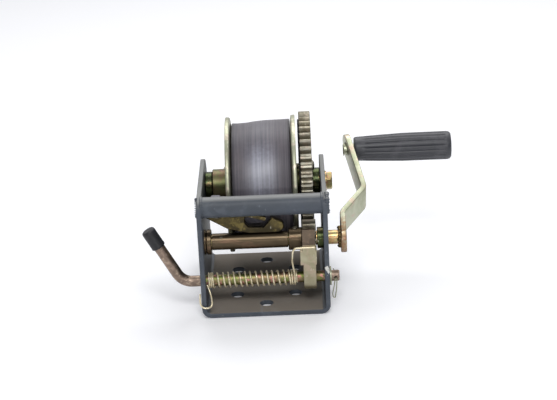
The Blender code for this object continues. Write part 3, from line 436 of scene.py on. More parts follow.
overlay(gear_zinc, near((45.6, AXLE.y - 34.0, AXLE.z + 49.0), 2.2, 0.5, (1.0, 0.45, 0.45)), plain(168, 44, 62))
overlay(pale_zinc, near((67.0, CRANK.y, CRANK.z), 15.0, 4.0),
        clouds_of((146, 112, 84), (120, 92, 66), (170, 128, 108), 120.0))
overlay(rod_zinc, between("X", -52, 50, 3), clouds_of((128, 112, 84), (118, 128, 72), (176, 124, 116), 85.0))
pawl_zinc = plated("pawl zinc", (178, 172, 146), (164, 156, 128), (186, 170, 148), 0.42, 40.0, 0.3, (110, 98, 78))
# Painted shade: the pawl's upper part is made dark brown, as the cross tube shades it.
overlay(pawl_zinc, between("Z", CRANK.z + 4.6, CRANK.z + 60, 0.6),
        clouds_of((96, 84, 72), (86, 76, 66), (110, 94, 80), 70.0))
print("plated finishes", [m.name for m in bpy.data.materials if "zinc" in m.name])

# %% [markdown]
# ## Paint, rubber and webbing finishes
#
# The frame is sprayed blue-grey. Sprayed paint has an orange-peel ripple, settles dust on faces
# that look up, and chips on edges that get knocked. One such chip is on the right plate's front
# edge, above the rod, so its mask is a small box around that place. Faces that look up are also
# made lighter as a painted highlight, and the side plates' upper parts behind the tube as painted
# light.

# %% Frame paint
channel_low, channel_high = node_box("frame_channel")
CHIP_PLACE = Vector((channel_high.x - 1.5, channel_low.y, ROD.z + 12.5))

frame_paint, tree, shader, place = start_material("frame paint")
peel = add_node(tree, "ShaderNodeTexNoise", Vector=place, Scale=420.0, Detail=2.0, Roughness=0.5).outputs[0]
tone = use_group(tree, cloudy, Vector=place, Scale=18.0, First=srgb(65, 71, 80), Second=srgb(59, 65, 73),
                 Third=srgb(72, 78, 86))
dust = use_group(tree, grimy, Vector=place, Scale=30.0, Amount=0.35)
facing = add_node(tree, "ShaderNodeSeparateXYZ",
                  Vector=add_node(tree, "ShaderNodeNewGeometry").outputs["Normal"]).outputs["Z"]
# Dust settles in patches on faces that look up; its pale colour there also serves as part of a painted highlight on
# those faces.
dust_and_top_light = maths(tree, "MULTIPLY", dust.outputs["Mask"], ramp(tree, facing, 0.4, 0.95))
inside_warm = ramp(tree, facing, 0.85, 0.99)
low_down = maths(tree, "SUBTRACT", 1.0, ramp(tree, add_node(tree, "ShaderNodeSeparateXYZ", Vector=place).outputs["Z"],
                                             0.004, 0.012))
colour = blend_colours(tree, maths(tree, "MULTIPLY", inside_warm, low_down), tone.outputs["Color"],
                       srgb(134, 127, 119))
colour = blend_colours(tree, dust_and_top_light, colour, srgb(150, 148, 142))
# Painted light: the side plates' upper parts, behind the tube, are made lighter grey.
spot = add_node(tree, "ShaderNodeSeparateXYZ", Vector=place)
behind_tube = ramp(tree, spot.outputs["Y"], (channel_low.y + 12) * MM, (channel_low.y + 20) * MM)
painted_plate_top_light = maths(tree, "MULTIPLY", ramp(tree, spot.outputs["Z"], 0.088, 0.112), behind_tube)
colour = blend_colours(tree, maths(tree, "MULTIPLY", painted_plate_top_light, 0.8), colour, srgb(128, 131, 127))
# Painted highlight: faces that look up, above the base, are made lighter, as light from above makes them.
painted_top_light = ramp(tree, facing, 0.72, 1.0)
above = maths(tree, "SUBTRACT", 1.0, low_down)
colour = blend_colours(tree, maths(tree, "MULTIPLY", maths(tree, "MULTIPLY", painted_top_light, above), 0.8), colour,
                       srgb(132, 133, 132))
lines = use_group(tree, scratched, Vector=place, Scale=150.0, Amount=0.25)
colour = blend_colours(tree, lines.outputs["Mask"], colour, srgb(140, 146, 154))
from_chip = add_node(tree, "ShaderNodeVectorMath", {"operation": "SUBTRACT"}, i0=place, i1=CHIP_PLACE * MM)
chip_shape = add_node(tree, "ShaderNodeMapping", Vector=from_chip.outputs[0], Scale=(1.0, 1.0, 0.62))
chip_reach = add_node(tree, "ShaderNodeVectorMath", {"operation": "LENGTH"}, i0=chip_shape.outputs[0])
ragged = add_node(tree, "ShaderNodeTexNoise", Vector=place, Scale=520.0, Detail=3.0).outputs[0]
chip_edge = maths(tree, "ADD", chip_reach.outputs["Value"],
                  maths(tree, "MULTIPLY", maths(tree, "SUBTRACT", ragged, 0.5), 0.009))
chip = maths(tree, "SUBTRACT", 1.0, ramp(tree, chip_edge, 0.0019, 0.0024))
edge_nick = add_node(tree, "ShaderNodeTexNoise", Vector=place, Scale=260.0, Detail=4.0, Roughness=0.7).outputs[0]
front_edge = maths(tree, "SUBTRACT", 1.0, ramp(
    tree, add_node(tree, "ShaderNodeSeparateXYZ", Vector=place).outputs["Y"],
    (channel_low.y + 0.2) * MM, (channel_low.y + 1.2) * MM))
nicks = maths(tree, "MULTIPLY", ramp(tree, edge_nick, 0.69, 0.73), front_edge)
bare = maths(tree, "MAXIMUM", chip, nicks)
colour = blend_colours(tree, bare, colour, srgb(205, 204, 198))
tree.links.new(colour, shader.inputs["Base Color"])
tree.links.new(maths(tree, "MULTIPLY", bare, 0.8), shader.inputs["Metallic"])
matt = maths(tree, "MULTIPLY", inside_warm, low_down)
tree.links.new(maths(tree, "ADD", 0.48, maths(tree, "MULTIPLY", maths(tree, "MAXIMUM", dust_and_top_light, matt), 0.4)),
               shader.inputs["Roughness"])
tree.links.new(maths(tree, "SUBTRACT", 0.4, maths(tree, "MULTIPLY", matt, 0.35)),
               shader.inputs["Specular IOR Level"])
height = maths(tree, "SUBTRACT", peel, maths(tree, "MULTIPLY", bare, 1.5))
relief = add_node(tree, "ShaderNodeBump", Strength=0.22, Distance=0.0002, Height=height)
tree.links.new(relief.outputs[0], shader.inputs["Normal"])
print("frame paint made, chip at", tuple(round(v, 1) for v in CHIP_PLACE))


# %% [markdown]
# Moulded rubber is dark, dull and slightly dusty along the ridges of its flutes. The grip and the
# lever's cap share this recipe.

# %% Rubber
def rubber(name, base, dusty, roughness):
    made, tree, shader, place = start_material(name)
    dust = use_group(tree, grimy, Vector=place, Scale=55.0, Amount=0.55)
    along = add_node(tree, "ShaderNodeMapping", Vector=place, Scale=(0.12, 1.0, 1.0))
    streaks = add_node(tree, "ShaderNodeTexNoise", Vector=along.outputs[0], Scale=420.0, Detail=3.0).outputs[0]
    colour = blend_colours(tree, dust.outputs["Mask"], srgb(*base), srgb(*dusty))
    colour = blend_colours(tree, maths(tree, "MULTIPLY", ramp(tree, streaks, 0.55, 0.72), 0.35), colour, srgb(*dusty))
    tree.links.new(colour, shader.inputs["Base Color"])
    tree.links.new(maths(tree, "ADD", roughness, maths(tree, "MULTIPLY", dust.outputs["Mask"], 0.2)),
                   shader.inputs["Roughness"])
    relief = add_node(tree, "ShaderNodeBump", Strength=0.3, Distance=0.0002, Height=dust.outputs["Grain"])
    tree.links.new(relief.outputs[0], shader.inputs["Normal"])
    return made


grip_rubber = rubber("grip rubber", (46, 47, 53), (82, 82, 86), 0.42)
cap_rubber = rubber("cap rubber", (14, 15, 20), (34, 35, 42), 0.5)
print("rubber made")

# %% [markdown]
# Winch webbing is woven polyester. Its threads run with the length, so along the roll they show
# as many fine lines round the drum. The webbing piece carries its own UV map, with the run of the
# strap along U in metres and its width along V, and the weave follows that map: fine lines across
# V and a slower unevenness along U. The strip's edges are darker, which is painted shade from the
# flanges, and its middle carries a painted highlight, strongest in one patch on the front of the
# roll, where it is also glossier.

# %% Webbing finish
webbing_finish = bpy.data.materials.new("webbing")
webbing_finish.use_nodes = True
tree = webbing_finish.node_tree
shader = tree.nodes["Principled BSDF"]
on_strap = add_node(tree, "ShaderNodeUVMap", {"uv_map": "strap"}).outputs[0]
run = add_node(tree, "ShaderNodeSeparateXYZ", Vector=on_strap)
thread_space = add_node(tree, "ShaderNodeMapping", Vector=on_strap, Scale=(18.0, 2600.0, 1.0))
threads = add_node(tree, "ShaderNodeTexNoise", Vector=thread_space.outputs[0], Scale=1.0, Detail=3.0,
                   Roughness=0.6).outputs[0]
band_space = add_node(tree, "ShaderNodeMapping", Vector=on_strap, Scale=(5.0, 620.0, 1.0))
bands = add_node(tree, "ShaderNodeTexNoise", Vector=band_space.outputs[0], Scale=1.0, Detail=4.0,
                 Roughness=0.55).outputs[0]
weft = add_node(tree, "ShaderNodeTexWave", {"wave_type": "BANDS", "bands_direction": "X"}, Vector=on_strap,
                Scale=330.0, Distortion=0.8, Detail=1.0).outputs[1]
rub = add_node(tree, "ShaderNodeTexNoise", Vector=on_strap, Scale=28.0, Detail=4.0, Roughness=0.6).outputs[0]
colour = blend_colours(tree, ramp(tree, threads, 0.35, 0.65), srgb(64, 62, 69), srgb(88, 84, 91))
colour = blend_colours(tree, maths(tree, "MULTIPLY", ramp(tree, bands, 0.4, 0.7), 0.5), colour, srgb(108, 101, 105))
colour = blend_colours(tree, maths(tree, "MULTIPLY", ramp(tree, rub, 0.5, 0.75), 0.35), colour, srgb(112, 104, 106))
centred = maths(tree, "ABSOLUTE", maths(tree, "SUBTRACT", run.outputs["Y"], 0.025))
place = add_node(tree, "ShaderNodeTexCoord").outputs["Object"]
# Painted highlight: the middle of the strip's width is made lighter and bluer, most of all in one patch at the front
# of the roll; the same mask also lowers roughness and raises specular there.
gloss_and_highlight_patch = near((0.0, AXLE.y - 45.0, AXLE.z + 28.0), 17.0, 15.0, (0.5, 1.0, 1.0))(tree, place)
across = maths(tree, "SUBTRACT", 1.0, ramp(tree, centred, 0.0, 0.019))
gloss_and_highlight = maths(tree, "MULTIPLY", across, maths(tree, "ADD", 0.15, maths(tree, "MULTIPLY", gloss_and_highlight_patch, 0.85)))
fine_lines = maths(tree, "ADD", 0.55, maths(tree, "MULTIPLY", ramp(tree, bands, 0.35, 0.65), 0.45))
colour = blend_colours(tree, maths(tree, "MULTIPLY", maths(tree, "MULTIPLY", gloss_and_highlight, fine_lines), 0.85), colour,
                       srgb(160, 163, 178))
# Painted shade: both edges of the strip are darkened, as the flanges shade them.
colour = blend_colours(tree, maths(tree, "MULTIPLY", ramp(tree, centred, 0.0215, 0.0245), 0.75), colour,
                       srgb(44, 42, 48))
tree.links.new(colour, shader.inputs["Base Color"])
tree.links.new(maths(tree, "SUBTRACT", 0.44, maths(tree, "MULTIPLY", gloss_and_highlight, 0.12)), shader.inputs["Roughness"])
tree.links.new(maths(tree, "ADD", 0.25, maths(tree, "MULTIPLY", gloss_and_highlight, 0.75)), shader.inputs["Specular IOR Level"])
shader.inputs["Sheen Weight"].default_value = 0.12
shader.inputs["Sheen Roughness"].default_value = 0.4
height = maths(tree, "ADD", maths(tree, "MULTIPLY", threads, 0.7), maths(tree, "MULTIPLY", weft, 0.3))
relief = add_node(tree, "ShaderNodeBump", Strength=0.35, Distance=0.0003, Height=height)
tree.links.new(relief.outputs[0], shader.inputs["Normal"])
print("webbing finish made")


# %% [markdown]
# ## Tools for shapes
#
# Turned parts are one outline spun round the X direction, and bars and plates are lofts between
# cross-sections. A finished mesh is scaled to metres, its normals are made consistent, and its
# object stays at the origin with its place in its vertices. Each piece then rides on a body of
# the frame and replaces the plain CAD nodes it stands for.


def finish_piece(made, body, *nodes):
    """Hands a finished object to the frame: it rides on a body and stands for CAD nodes."""
    if body:
        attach(made, body)
    if nodes:
        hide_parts(*nodes)
    return made


def mesh_object(name, bm, finish, smooth=35.0):
    """Makes an object from a bmesh in millimetres, with edges sharper than smooth kept sharp."""
    bmesh.ops.remove_doubles(bm, verts=bm.verts, dist=1e-4)
    bmesh.ops.scale(bm, vec=(MM, MM, MM), verts=bm.verts)
    bmesh.ops.recalc_face_normals(bm, faces=bm.faces)
    mesh = bpy.data.meshes.new(name)
    bm.to_mesh(mesh)
    bm.free()
    mesh.shade_smooth()
    mesh.set_sharp_from_angle(angle=math.radians(smooth))
    mesh.materials.append(finish)
    made = bpy.data.objects.new(name, mesh)
    bpy.context.scene.collection.objects.link(made)
    return made


def add_loft(bm, sections, ring=False):
    """Joins closed sections of equal count. As a ring, the last section meets the first; else the ends are capped."""
    rows = [[bm.verts.new(point) for point in section] for section in sections]
    pairs = list(zip(rows, rows[1:])) + ([(rows[-1], rows[0])] if ring else [])
    for first, second in pairs:
        count = len(first)
        for i in range(count):
            bm.faces.new((first[i], first[(i + 1) % count], second[(i + 1) % count], second[i]))
    if not ring:
        bm.faces.new(rows[0])
        bm.faces.new(list(reversed(rows[-1])))
    return rows


def spin_outline(outline, count, centre=Vector((0, 0, 0))):
    """Spins a closed (x, radius) outline round X. Points on the axis are merged later."""
    bm = bmesh.new()
    sections = []
    for i in range(count):
        angle = 2 * math.pi * i / count
        sections.append([Vector((x, centre.y + radius * math.cos(angle), centre.z + radius * math.sin(angle)))
                         for x, radius in outline])
    add_loft(bm, sections, ring=True)
    return bm


def eased(low, high, inner, outer, chamfer):
    """A bush's outline: a bore, two faces and an outside with chamfered corners."""
    return [(low, inner), (low, outer - chamfer), (low + chamfer, outer), (high - chamfer, outer),
            (high, outer - chamfer), (high, inner)]


def arc_corners(corners, steps=6):
    """An outline whose corners (a, b, radius) become arcs."""
    points = []
    for i, (a, b, radius) in enumerate(corners):
        here = Vector((a, b))
        back = (Vector(corners[i - 1][:2]) - here).normalized()
        on = (Vector(corners[(i + 1) % len(corners)][:2]) - here).normalized()
        half = back.angle(on) / 2
        if radius <= 0 or abs(half - math.pi / 2) < 1e-3:
            points.append(here)
            continue
        middle = here + (back + on).normalized() * radius / math.sin(half)
        first = here + back * radius / math.tan(half) - middle
        sweep = first.angle_signed(here + on * radius / math.tan(half) - middle)
        for k in range(steps + 1):
            points.append(middle + Matrix.Rotation(-sweep * k / steps, 2) @ first)
    return [(p.x, p.y) for p in points]


def prism(outline, near, far, axis="X"):
    """An outline drawn out between two planes: (Y, Z) along X, or (X, Z) along Y."""
    bm = bmesh.new()
    if axis == "X":
        rows = [[Vector((c, a, b)) for a, b in outline] for c in (near, far)]
    else:
        rows = [[Vector((a, c, b)) for a, b in outline] for c in (near, far)]
    add_loft(bm, rows)
    return bm


def drill(bm, centre, axis, radius, length, count=40):
    turn = {"X": Matrix.Rotation(math.pi / 2, 4, "Y"),
            "Y": Matrix.Rotation(math.pi / 2, 4, "X"),
            "Z": Matrix.Identity(4)}[axis]
    bmesh.ops.create_cone(bm, cap_ends=True, segments=count, radius1=radius, radius2=radius, depth=length,
                          matrix=Matrix.Translation(centre) @ turn)


def evaluated(made):
    """Turns an object with modifiers into a plain mesh object of the same name."""
    bpy.context.view_layer.update()
    mesh = bpy.data.meshes.new_from_object(made.evaluated_get(bpy.context.evaluated_depsgraph_get()))
    plain = bpy.data.objects.new(made.name, mesh)
    name = made.name
    bpy.data.objects.remove(made, do_unlink=True)
    plain.name = name
    bpy.context.scene.collection.objects.link(plain)
    return plain


def cut(made, bm, operation="DIFFERENCE"):
    """Cuts the object with a bmesh in millimetres and returns the plain result."""
    bmesh.ops.scale(bm, vec=(MM, MM, MM), verts=bm.verts)
    bmesh.ops.recalc_face_normals(bm, faces=bm.faces)
    mesh = bpy.data.meshes.new("cutter")
    bm.to_mesh(mesh)
    bm.free()
    mesh.materials.append(made.data.materials[0])
    cutter = bpy.data.objects.new("cutter", mesh)
    bpy.context.scene.collection.objects.link(cutter)
    boolean = made.modifiers.new("cut", "BOOLEAN")
    boolean.operation = operation
    boolean.object = cutter
    plain = evaluated(made)
    bpy.data.objects.remove(cutter, do_unlink=True)
    return plain


def round_edges(made, width, smooth=35.0, steps=2):
    """Shades a cut piece smooth and rounds its sharp edges."""
    made.data.shade_smooth()
    made.data.set_sharp_from_angle(angle=math.radians(smooth))
    edge = made.modifiers.new("soft edges", "BEVEL")
    edge.width = width * MM
    edge.segments = steps
    edge.limit_method = "ANGLE"
    edge.angle_limit = math.radians(40)
    return made


print("shape helpers ready")

# %% [markdown]
# ## The bent channel
#
# The real channel is one strip of steel, sheared, punched and folded into a U. Drawing the U
# section out along Y gives the two bends exactly, and an intersection with the side outline
# rounds the plates' corners. The punched holes are cut last. Sheared steel has a slightly rolled
# edge, so every sharp edge gets a small round.

# %% Channel
PLATE = 4.0
BEND = 8.0
tube_low, tube_high = node_box("cross_tube")
TUBE_RADIUS = (tube_high.y - tube_low.y) / 2
TUBE_CENTRE = (tube_low + tube_high) / 2
half_width = channel_high.x
top = channel_high.z
front = channel_low.y
back = channel_high.y
section = arc_corners([
    (-half_width, 0.0, BEND), (half_width, 0.0, BEND), (half_width, top + 5, 0), (half_width - PLATE, top + 5, 0),
    (half_width - PLATE, PLATE, BEND - PLATE), (-half_width + PLATE, PLATE, BEND - PLATE),
    (-half_width + PLATE, top + 5, 0), (-half_width, top + 5, 0)], 10)
channel = mesh_object("channel", prism(section, front - 5, back + 5, axis="Y"), frame_paint)
side = arc_corners([(front, -3, 0), (back, -3, 0), (back, top, 22.0), (front, top, 9.0)], 14)
channel = cut(channel, prism(side, -half_width - 9, half_width + 9), "INTERSECT")
holes = bmesh.new()
BASE_HOLES = [(25, 26), (-25, 26), (25, -26), (-25, -26), (0, 45), (0, -45)]
for x, y in BASE_HOLES:
    drill(holes, (x, y, PLATE / 2), "Z", 5.25, PLATE * 4)
drill(holes, AXLE, "X", 5.05, half_width * 3)
drill(holes, CRANK, "X", 8.3, half_width * 3, 56)
drill(holes, ROD, "X", 5.3, half_width * 3)
drill(holes, (0, front + 8, TUBE_CENTRE.z - 17), "X", 3.5, half_width * 3)
channel = cut(channel, holes)
finish_piece(round_edges(channel, 0.55), "frame", "frame_channel")
print("channel", len(channel.data.polygons), "faces")

# %% [markdown]
# ## Cross tube and its welds
#
# The tube is a plain round bar between the plates. Its weld is a row of overlapping ripples,
# which is a repeated shape along a circle, so Geometry Nodes place it: one flattened ball on each
# point of a circle, each turned to follow it and slightly uneven. The same tree makes every bead
# on the winch.

# %% Bead tree
bead_tree = bpy.data.node_groups.new("weld bead", "GeometryNodeTree")
for label, kind in (("Geometry", "NodeSocketGeometry"), ("Radius", "NodeSocketFloat"), ("Ripples", "NodeSocketInt"),
                    ("Size", "NodeSocketFloat"), ("Unevenness", "NodeSocketFloat"), ("Seed", "NodeSocketInt"),
                    ("Centre", "NodeSocketVector"), ("Flatness", "NodeSocketFloat"),
                    ("Material", "NodeSocketMaterial")):
    bead_tree.interface.new_socket(label, in_out="INPUT", socket_type=kind)
bead_tree.interface.new_socket("Geometry", in_out="OUTPUT", socket_type="NodeSocketGeometry")
start = bead_tree.nodes.new("NodeGroupInput")
circle = add_node(bead_tree, "GeometryNodeCurvePrimitiveCircle", Resolution=96, Radius=start.outputs["Radius"])
spots = add_node(bead_tree, "GeometryNodeCurveToPoints", Curve=circle.outputs[0], Count=start.outputs["Ripples"])
ball = add_node(bead_tree, "GeometryNodeMeshIcoSphere", Radius=start.outputs["Size"], Subdivisions=3)
vary = add_node(bead_tree, "FunctionNodeRandomValue", {"data_type": "FLOAT"}, Seed=start.outputs["Seed"])
vary.inputs[2].default_value = 0.0
vary.inputs[3].default_value = 1.0
swing = maths(bead_tree, "MULTIPLY", maths(bead_tree, "SUBTRACT", vary.outputs[1], 0.5), start.outputs["Unevenness"])
size = maths(bead_tree, "ADD", 1.0, swing)
scale = add_node(bead_tree, "ShaderNodeCombineXYZ", X=maths(bead_tree, "MULTIPLY", size, 0.62), Y=size,
                 Z=maths(bead_tree, "MULTIPLY", size, start.outputs["Flatness"]))
placed = add_node(bead_tree, "GeometryNodeInstanceOnPoints", Points=spots.outputs[0], Instance=ball.outputs[0],
                  Rotation=spots.outputs["Rotation"], Scale=scale.outputs[0])
real = add_node(bead_tree, "GeometryNodeRealizeInstances", Geometry=placed.outputs[0])
turned = add_node(bead_tree, "GeometryNodeTransform", Geometry=real.outputs[0], Rotation=(0, math.pi / 2, 0),
                  Translation=start.outputs["Centre"])
smooth = add_node(bead_tree, "GeometryNodeSetShadeSmooth", Geometry=turned.outputs[0])
painted = add_node(bead_tree, "GeometryNodeSetMaterial", Geometry=smooth.outputs[0],
                   Material=start.outputs["Material"])
end = bead_tree.nodes.new("NodeGroupOutput")
bead_tree.links.new(painted.outputs[0], end.inputs[0])


def run_tree(name, tree, source=None, **inputs):
    """Runs a geometry tree on a mesh and returns the plain result. Inputs are set by their sockets' identifiers."""
    mesh = source or bpy.data.meshes.new(name)
    made = bpy.data.objects.new(name, mesh)
    bpy.context.scene.collection.objects.link(made)
    modifier = made.modifiers.new("tree", "NODES")
    modifier.node_group = tree
    for socket in tree.interface.items_tree:
        if socket.in_out == "INPUT" and socket.name in inputs:
            modifier[socket.identifier] = inputs[socket.name]
    return evaluated(made)


# %% [markdown]
# The channel is welded all round the tube on both sides of each plate. The bead outside the right
# plate is coarse, and paint has nearly filled the others. Each row below is one bead: its place
# along X, the circle's radius, how many ripples it has, their size and unevenness, a seed, and
# how far it bulges along X.

# %% Tube and beads
def remesh(made, voxel, finish):
    """Fuses overlapping ripples into one skin."""
    fuse = made.modifiers.new("fuse", "REMESH")
    fuse.mode = "VOXEL"
    fuse.voxel_size = voxel * MM
    fuse.use_smooth_shade = True
    made = evaluated(made)
    made.data.materials.clear()
    made.data.materials.append(finish)
    return made


tube = mesh_object("cross_tube_bar", spin_outline(
    eased(tube_low.x, tube_high.x, 0.0, TUBE_RADIUS, 0.3), 96, Vector((0, TUBE_CENTRE.y, TUBE_CENTRE.z))),
    frame_paint)
finish_piece(tube, "frame", "cross_tube")
bead_places = (("tube_bead_right", half_width - 0.1, TUBE_RADIUS - 0.4, 22, 2.0, 0.5, 5, 0.75),
               ("tube_bead_right_in", half_width - PLATE - 0.2, TUBE_RADIUS - 0.1, 40, 1.3, 0.15, 3, 0.9),
               ("tube_bead_left_in", -half_width + PLATE + 0.2, TUBE_RADIUS - 0.1, 40, 1.3, 0.15, 4, 0.9),
               ("tube_bead_left", -half_width - 0.1, TUBE_RADIUS - 0.8, 26, 1.2, 0.2, 9, 0.4))
for name, x, radius, ripples, size, uneven, seed, flat in bead_places:
    bead = run_tree(name, bead_tree, Radius=radius * MM, Ripples=ripples, Size=size * MM, Unevenness=uneven,
                    Seed=seed, Centre=Vector((x, TUBE_CENTRE.y, TUBE_CENTRE.z)) * MM, Flatness=flat,
                    Material=frame_paint)
    bead = remesh(bead, 0.28, frame_paint)
    finish_piece(bead, "frame")
print("tube and", len(bead_places), "beads")

# %% [markdown]
# ## Drum
#
# Two pressed discs hold the webbing, with a turned hub through them. Each disc gets a rounded
# rim. The hub, bushes and spacers are all turned, so they share the spinning helper, with a small
# chamfer where a lathe would leave one.

# %% Flanges, hub and bushes
flange_low, flange_high = node_box("left_flange")
FLANGE_RADIUS = (flange_high.y - flange_low.y) / 2
FLANGE_IN = -flange_high.x
FLANGE_THICK = 3.0
FLARE = flange_high.x - flange_low.x - FLANGE_THICK
FLANGE_OUT = FLANGE_IN + FLANGE_THICK
flare_line = [(0.0, 11.0), (0.0, FLANGE_RADIUS - 7.5), (0.06, FLANGE_RADIUS - 6.2), (0.22, FLANGE_RADIUS - 4.6),
              (0.5, FLANGE_RADIUS - 2.6), (0.86, FLANGE_RADIUS - 0.9)]
for name, node, way in (("left_disc", "left_flange", -1), ("right_disc", "right_flange", 1)):
    inside = [(way * (FLANGE_IN - 0.7 + share * FLARE), radius) for share, radius in flare_line]
    outside = [(way * (FLANGE_OUT + share * FLARE), radius) for share, radius in flare_line]
    rim = [(way * (FLANGE_IN - 0.7 + FLARE + 0.35), FLANGE_RADIUS - 0.2),
           (way * (FLANGE_IN + FLARE + 0.5), FLANGE_RADIUS),
           (way * (FLANGE_OUT + FLARE - 0.7), FLANGE_RADIUS), (way * (FLANGE_OUT + FLARE - 0.15), FLANGE_RADIUS - 0.3)]
    disc = mesh_object(name, spin_outline(inside + rim + outside[::-1], 144, AXLE), olive_zinc, 50)
    finish_piece(disc, "drum", node)

hub_low, hub_high = node_box("drum_hub")
CORE_RADIUS = (hub_high.y - hub_low.y) / 2
seat = 10.7
gear_low, gear_high = node_box("drum_gear")
hub_outline = [(hub_low.x, 5.05), (hub_low.x, 13.4), (hub_low.x + 0.6, 14.0), (-FLANGE_OUT - 0.3, 14.0),
               (-FLANGE_OUT - 0.3, seat), (-FLANGE_IN + 0.3, seat), (-FLANGE_IN + 0.3, CORE_RADIUS),
               (FLANGE_IN - 0.3, CORE_RADIUS), (FLANGE_IN - 0.3, seat), (FLANGE_OUT + 0.3, seat),
               (FLANGE_OUT + 0.3, 14.0), (gear_low.x - 0.3, 14.0), (gear_low.x - 0.3, seat), (hub_high.x, seat),
               (hub_high.x, 5.05)]
finish_piece(mesh_object("hub", spin_outline(hub_outline, 96, AXLE), hub_zinc), "drum", "drum_hub")


def turned_bush(name, node, bore, finish, body, chamfer=0.5, count=96):
    """A turned ring that fills its CAD node's box."""
    low, high = node_box(node)
    centre = (low + high) / 2
    outer = (high.y - low.y) / 2
    made = mesh_object(name, spin_outline(eased(low.x, high.x, bore, outer, chamfer), count,
                                          Vector((0, centre.y, centre.z))), finish)
    return finish_piece(made, body, node)


turned_bush("left_spacer_bush", "left_spacer", 5.05, green_zinc, "frame")
turned_bush("right_spacer_bush", "right_spacer", 5.05, green_zinc, "frame")
turned_bush("bolt_washer", "axle_washer", 5.05, yellow_zinc, "frame", 0.25)
turned_bush("shaft_collar", "crank_collar", 6.3, brown_zinc, "crank")
turned_bush("shaft_sleeve", "crank_sleeve", 6.3, brown_zinc, "crank", 0.3)
turned_bush("lever_washer", "rod_washer", 5.0, pale_zinc, "ratchet", 0.25)
for name, node in (("left_crank_bush", "crank_bush_left"), ("right_crank_bush", "crank_bush_right")):
    low, high = node_box(node)
    outer = (high.y - low.y) / 2
    step = -half_width + PLATE + 0.3 if node.endswith("left") else half_width - PLATE - 0.3
    if low.x < 0:
        outline = [(low.x, 6.3), (low.x, 8.0), (low.x, 8.0), (step, 8.0), (step, outer),
                   (high.x - 0.4, outer), (high.x, outer - 0.4), (high.x, 6.3)]
    else:
        outline = [(low.x, 6.3), (low.x, outer - 0.4), (low.x + 0.4, outer), (step, outer), (step, 8.0),
                   (high.x, 8.0), (high.x, 8.0), (high.x, 6.3)]
    bush = mesh_object(name, spin_outline(outline, 80, CRANK), brown_zinc if low.x < 0 else green_zinc)
    finish_piece(bush, "frame", node)
print("turned pieces made")

# %% [markdown]
# ## Gears
#
# A gear is one tooth repeated around its axis. The script makes one tooth's sector, with an
# involute flank, a chamfer on both faces and its slice of the disc down to the bore, and a
# geometry tree places the copies. Both gears share the module, and the pinion's tooth is fatter
# because it has a positive profile shift.

# %% Copies around an axis
around_tree = bpy.data.node_groups.new("copies around an axis", "GeometryNodeTree")
for label, kind in (("Geometry", "NodeSocketGeometry"), ("Count", "NodeSocketInt"), ("Centre", "NodeSocketVector"),
                    ("Material", "NodeSocketMaterial")):
    around_tree.interface.new_socket(label, in_out="INPUT", socket_type=kind)
around_tree.interface.new_socket("Geometry", in_out="OUTPUT", socket_type="NodeSocketGeometry")
start = around_tree.nodes.new("NodeGroupInput")
copies = add_node(around_tree, "GeometryNodePoints", Count=start.outputs["Count"])
number = add_node(around_tree, "GeometryNodeInputIndex")
step = maths(around_tree, "DIVIDE", 2 * math.pi, start.outputs["Count"])
turn = add_node(around_tree, "ShaderNodeCombineXYZ", X=maths(around_tree, "MULTIPLY", number.outputs[0], step))
placed = add_node(around_tree, "GeometryNodeInstanceOnPoints", Points=copies.outputs[0],
                  Instance=start.outputs["Geometry"], Rotation=turn.outputs[0])
real = add_node(around_tree, "GeometryNodeRealizeInstances", Geometry=placed.outputs[0])
joined = add_node(around_tree, "GeometryNodeMergeByDistance", Geometry=real.outputs[0], Distance=0.00002)
moved = add_node(around_tree, "GeometryNodeTransform", Geometry=joined.outputs[0],
                 Translation=start.outputs["Centre"])
painted = add_node(around_tree, "GeometryNodeSetMaterial", Geometry=moved.outputs[0],
                   Material=start.outputs["Material"])
end = around_tree.nodes.new("NodeGroupOutput")
around_tree.links.new(painted.outputs[0], end.inputs[0])

# %% [markdown]
# The wheel has 48 teeth with a negative shift and the pinion has 10 with a positive one, so that
# ten teeth aren't undercut and the distance between the axes stays the standard one. A thin ring
# lies between the wheel and the drum; its near-black colour is painted shade for the deep gap
# between them.

# %% Gear wheel and pinion
MODULE = 2.5
PRESSURE = math.radians(20.0)
BACKLASH = 0.35
MESH_TURN = math.radians(19.7)


def half_tooth(radius, teeth, shift):
    """Half the angle an involute tooth fills at a radius."""
    pitch = MODULE * teeth / 2
    base = pitch * math.cos(PRESSURE)
    half = (math.pi / 2 + 2 * shift * math.tan(PRESSURE)) / teeth - BACKLASH / (4 * pitch)
    here = math.acos(min(1.0, base / max(radius, base)))
    return half + math.tan(PRESSURE) - PRESSURE - (math.tan(here) - here)


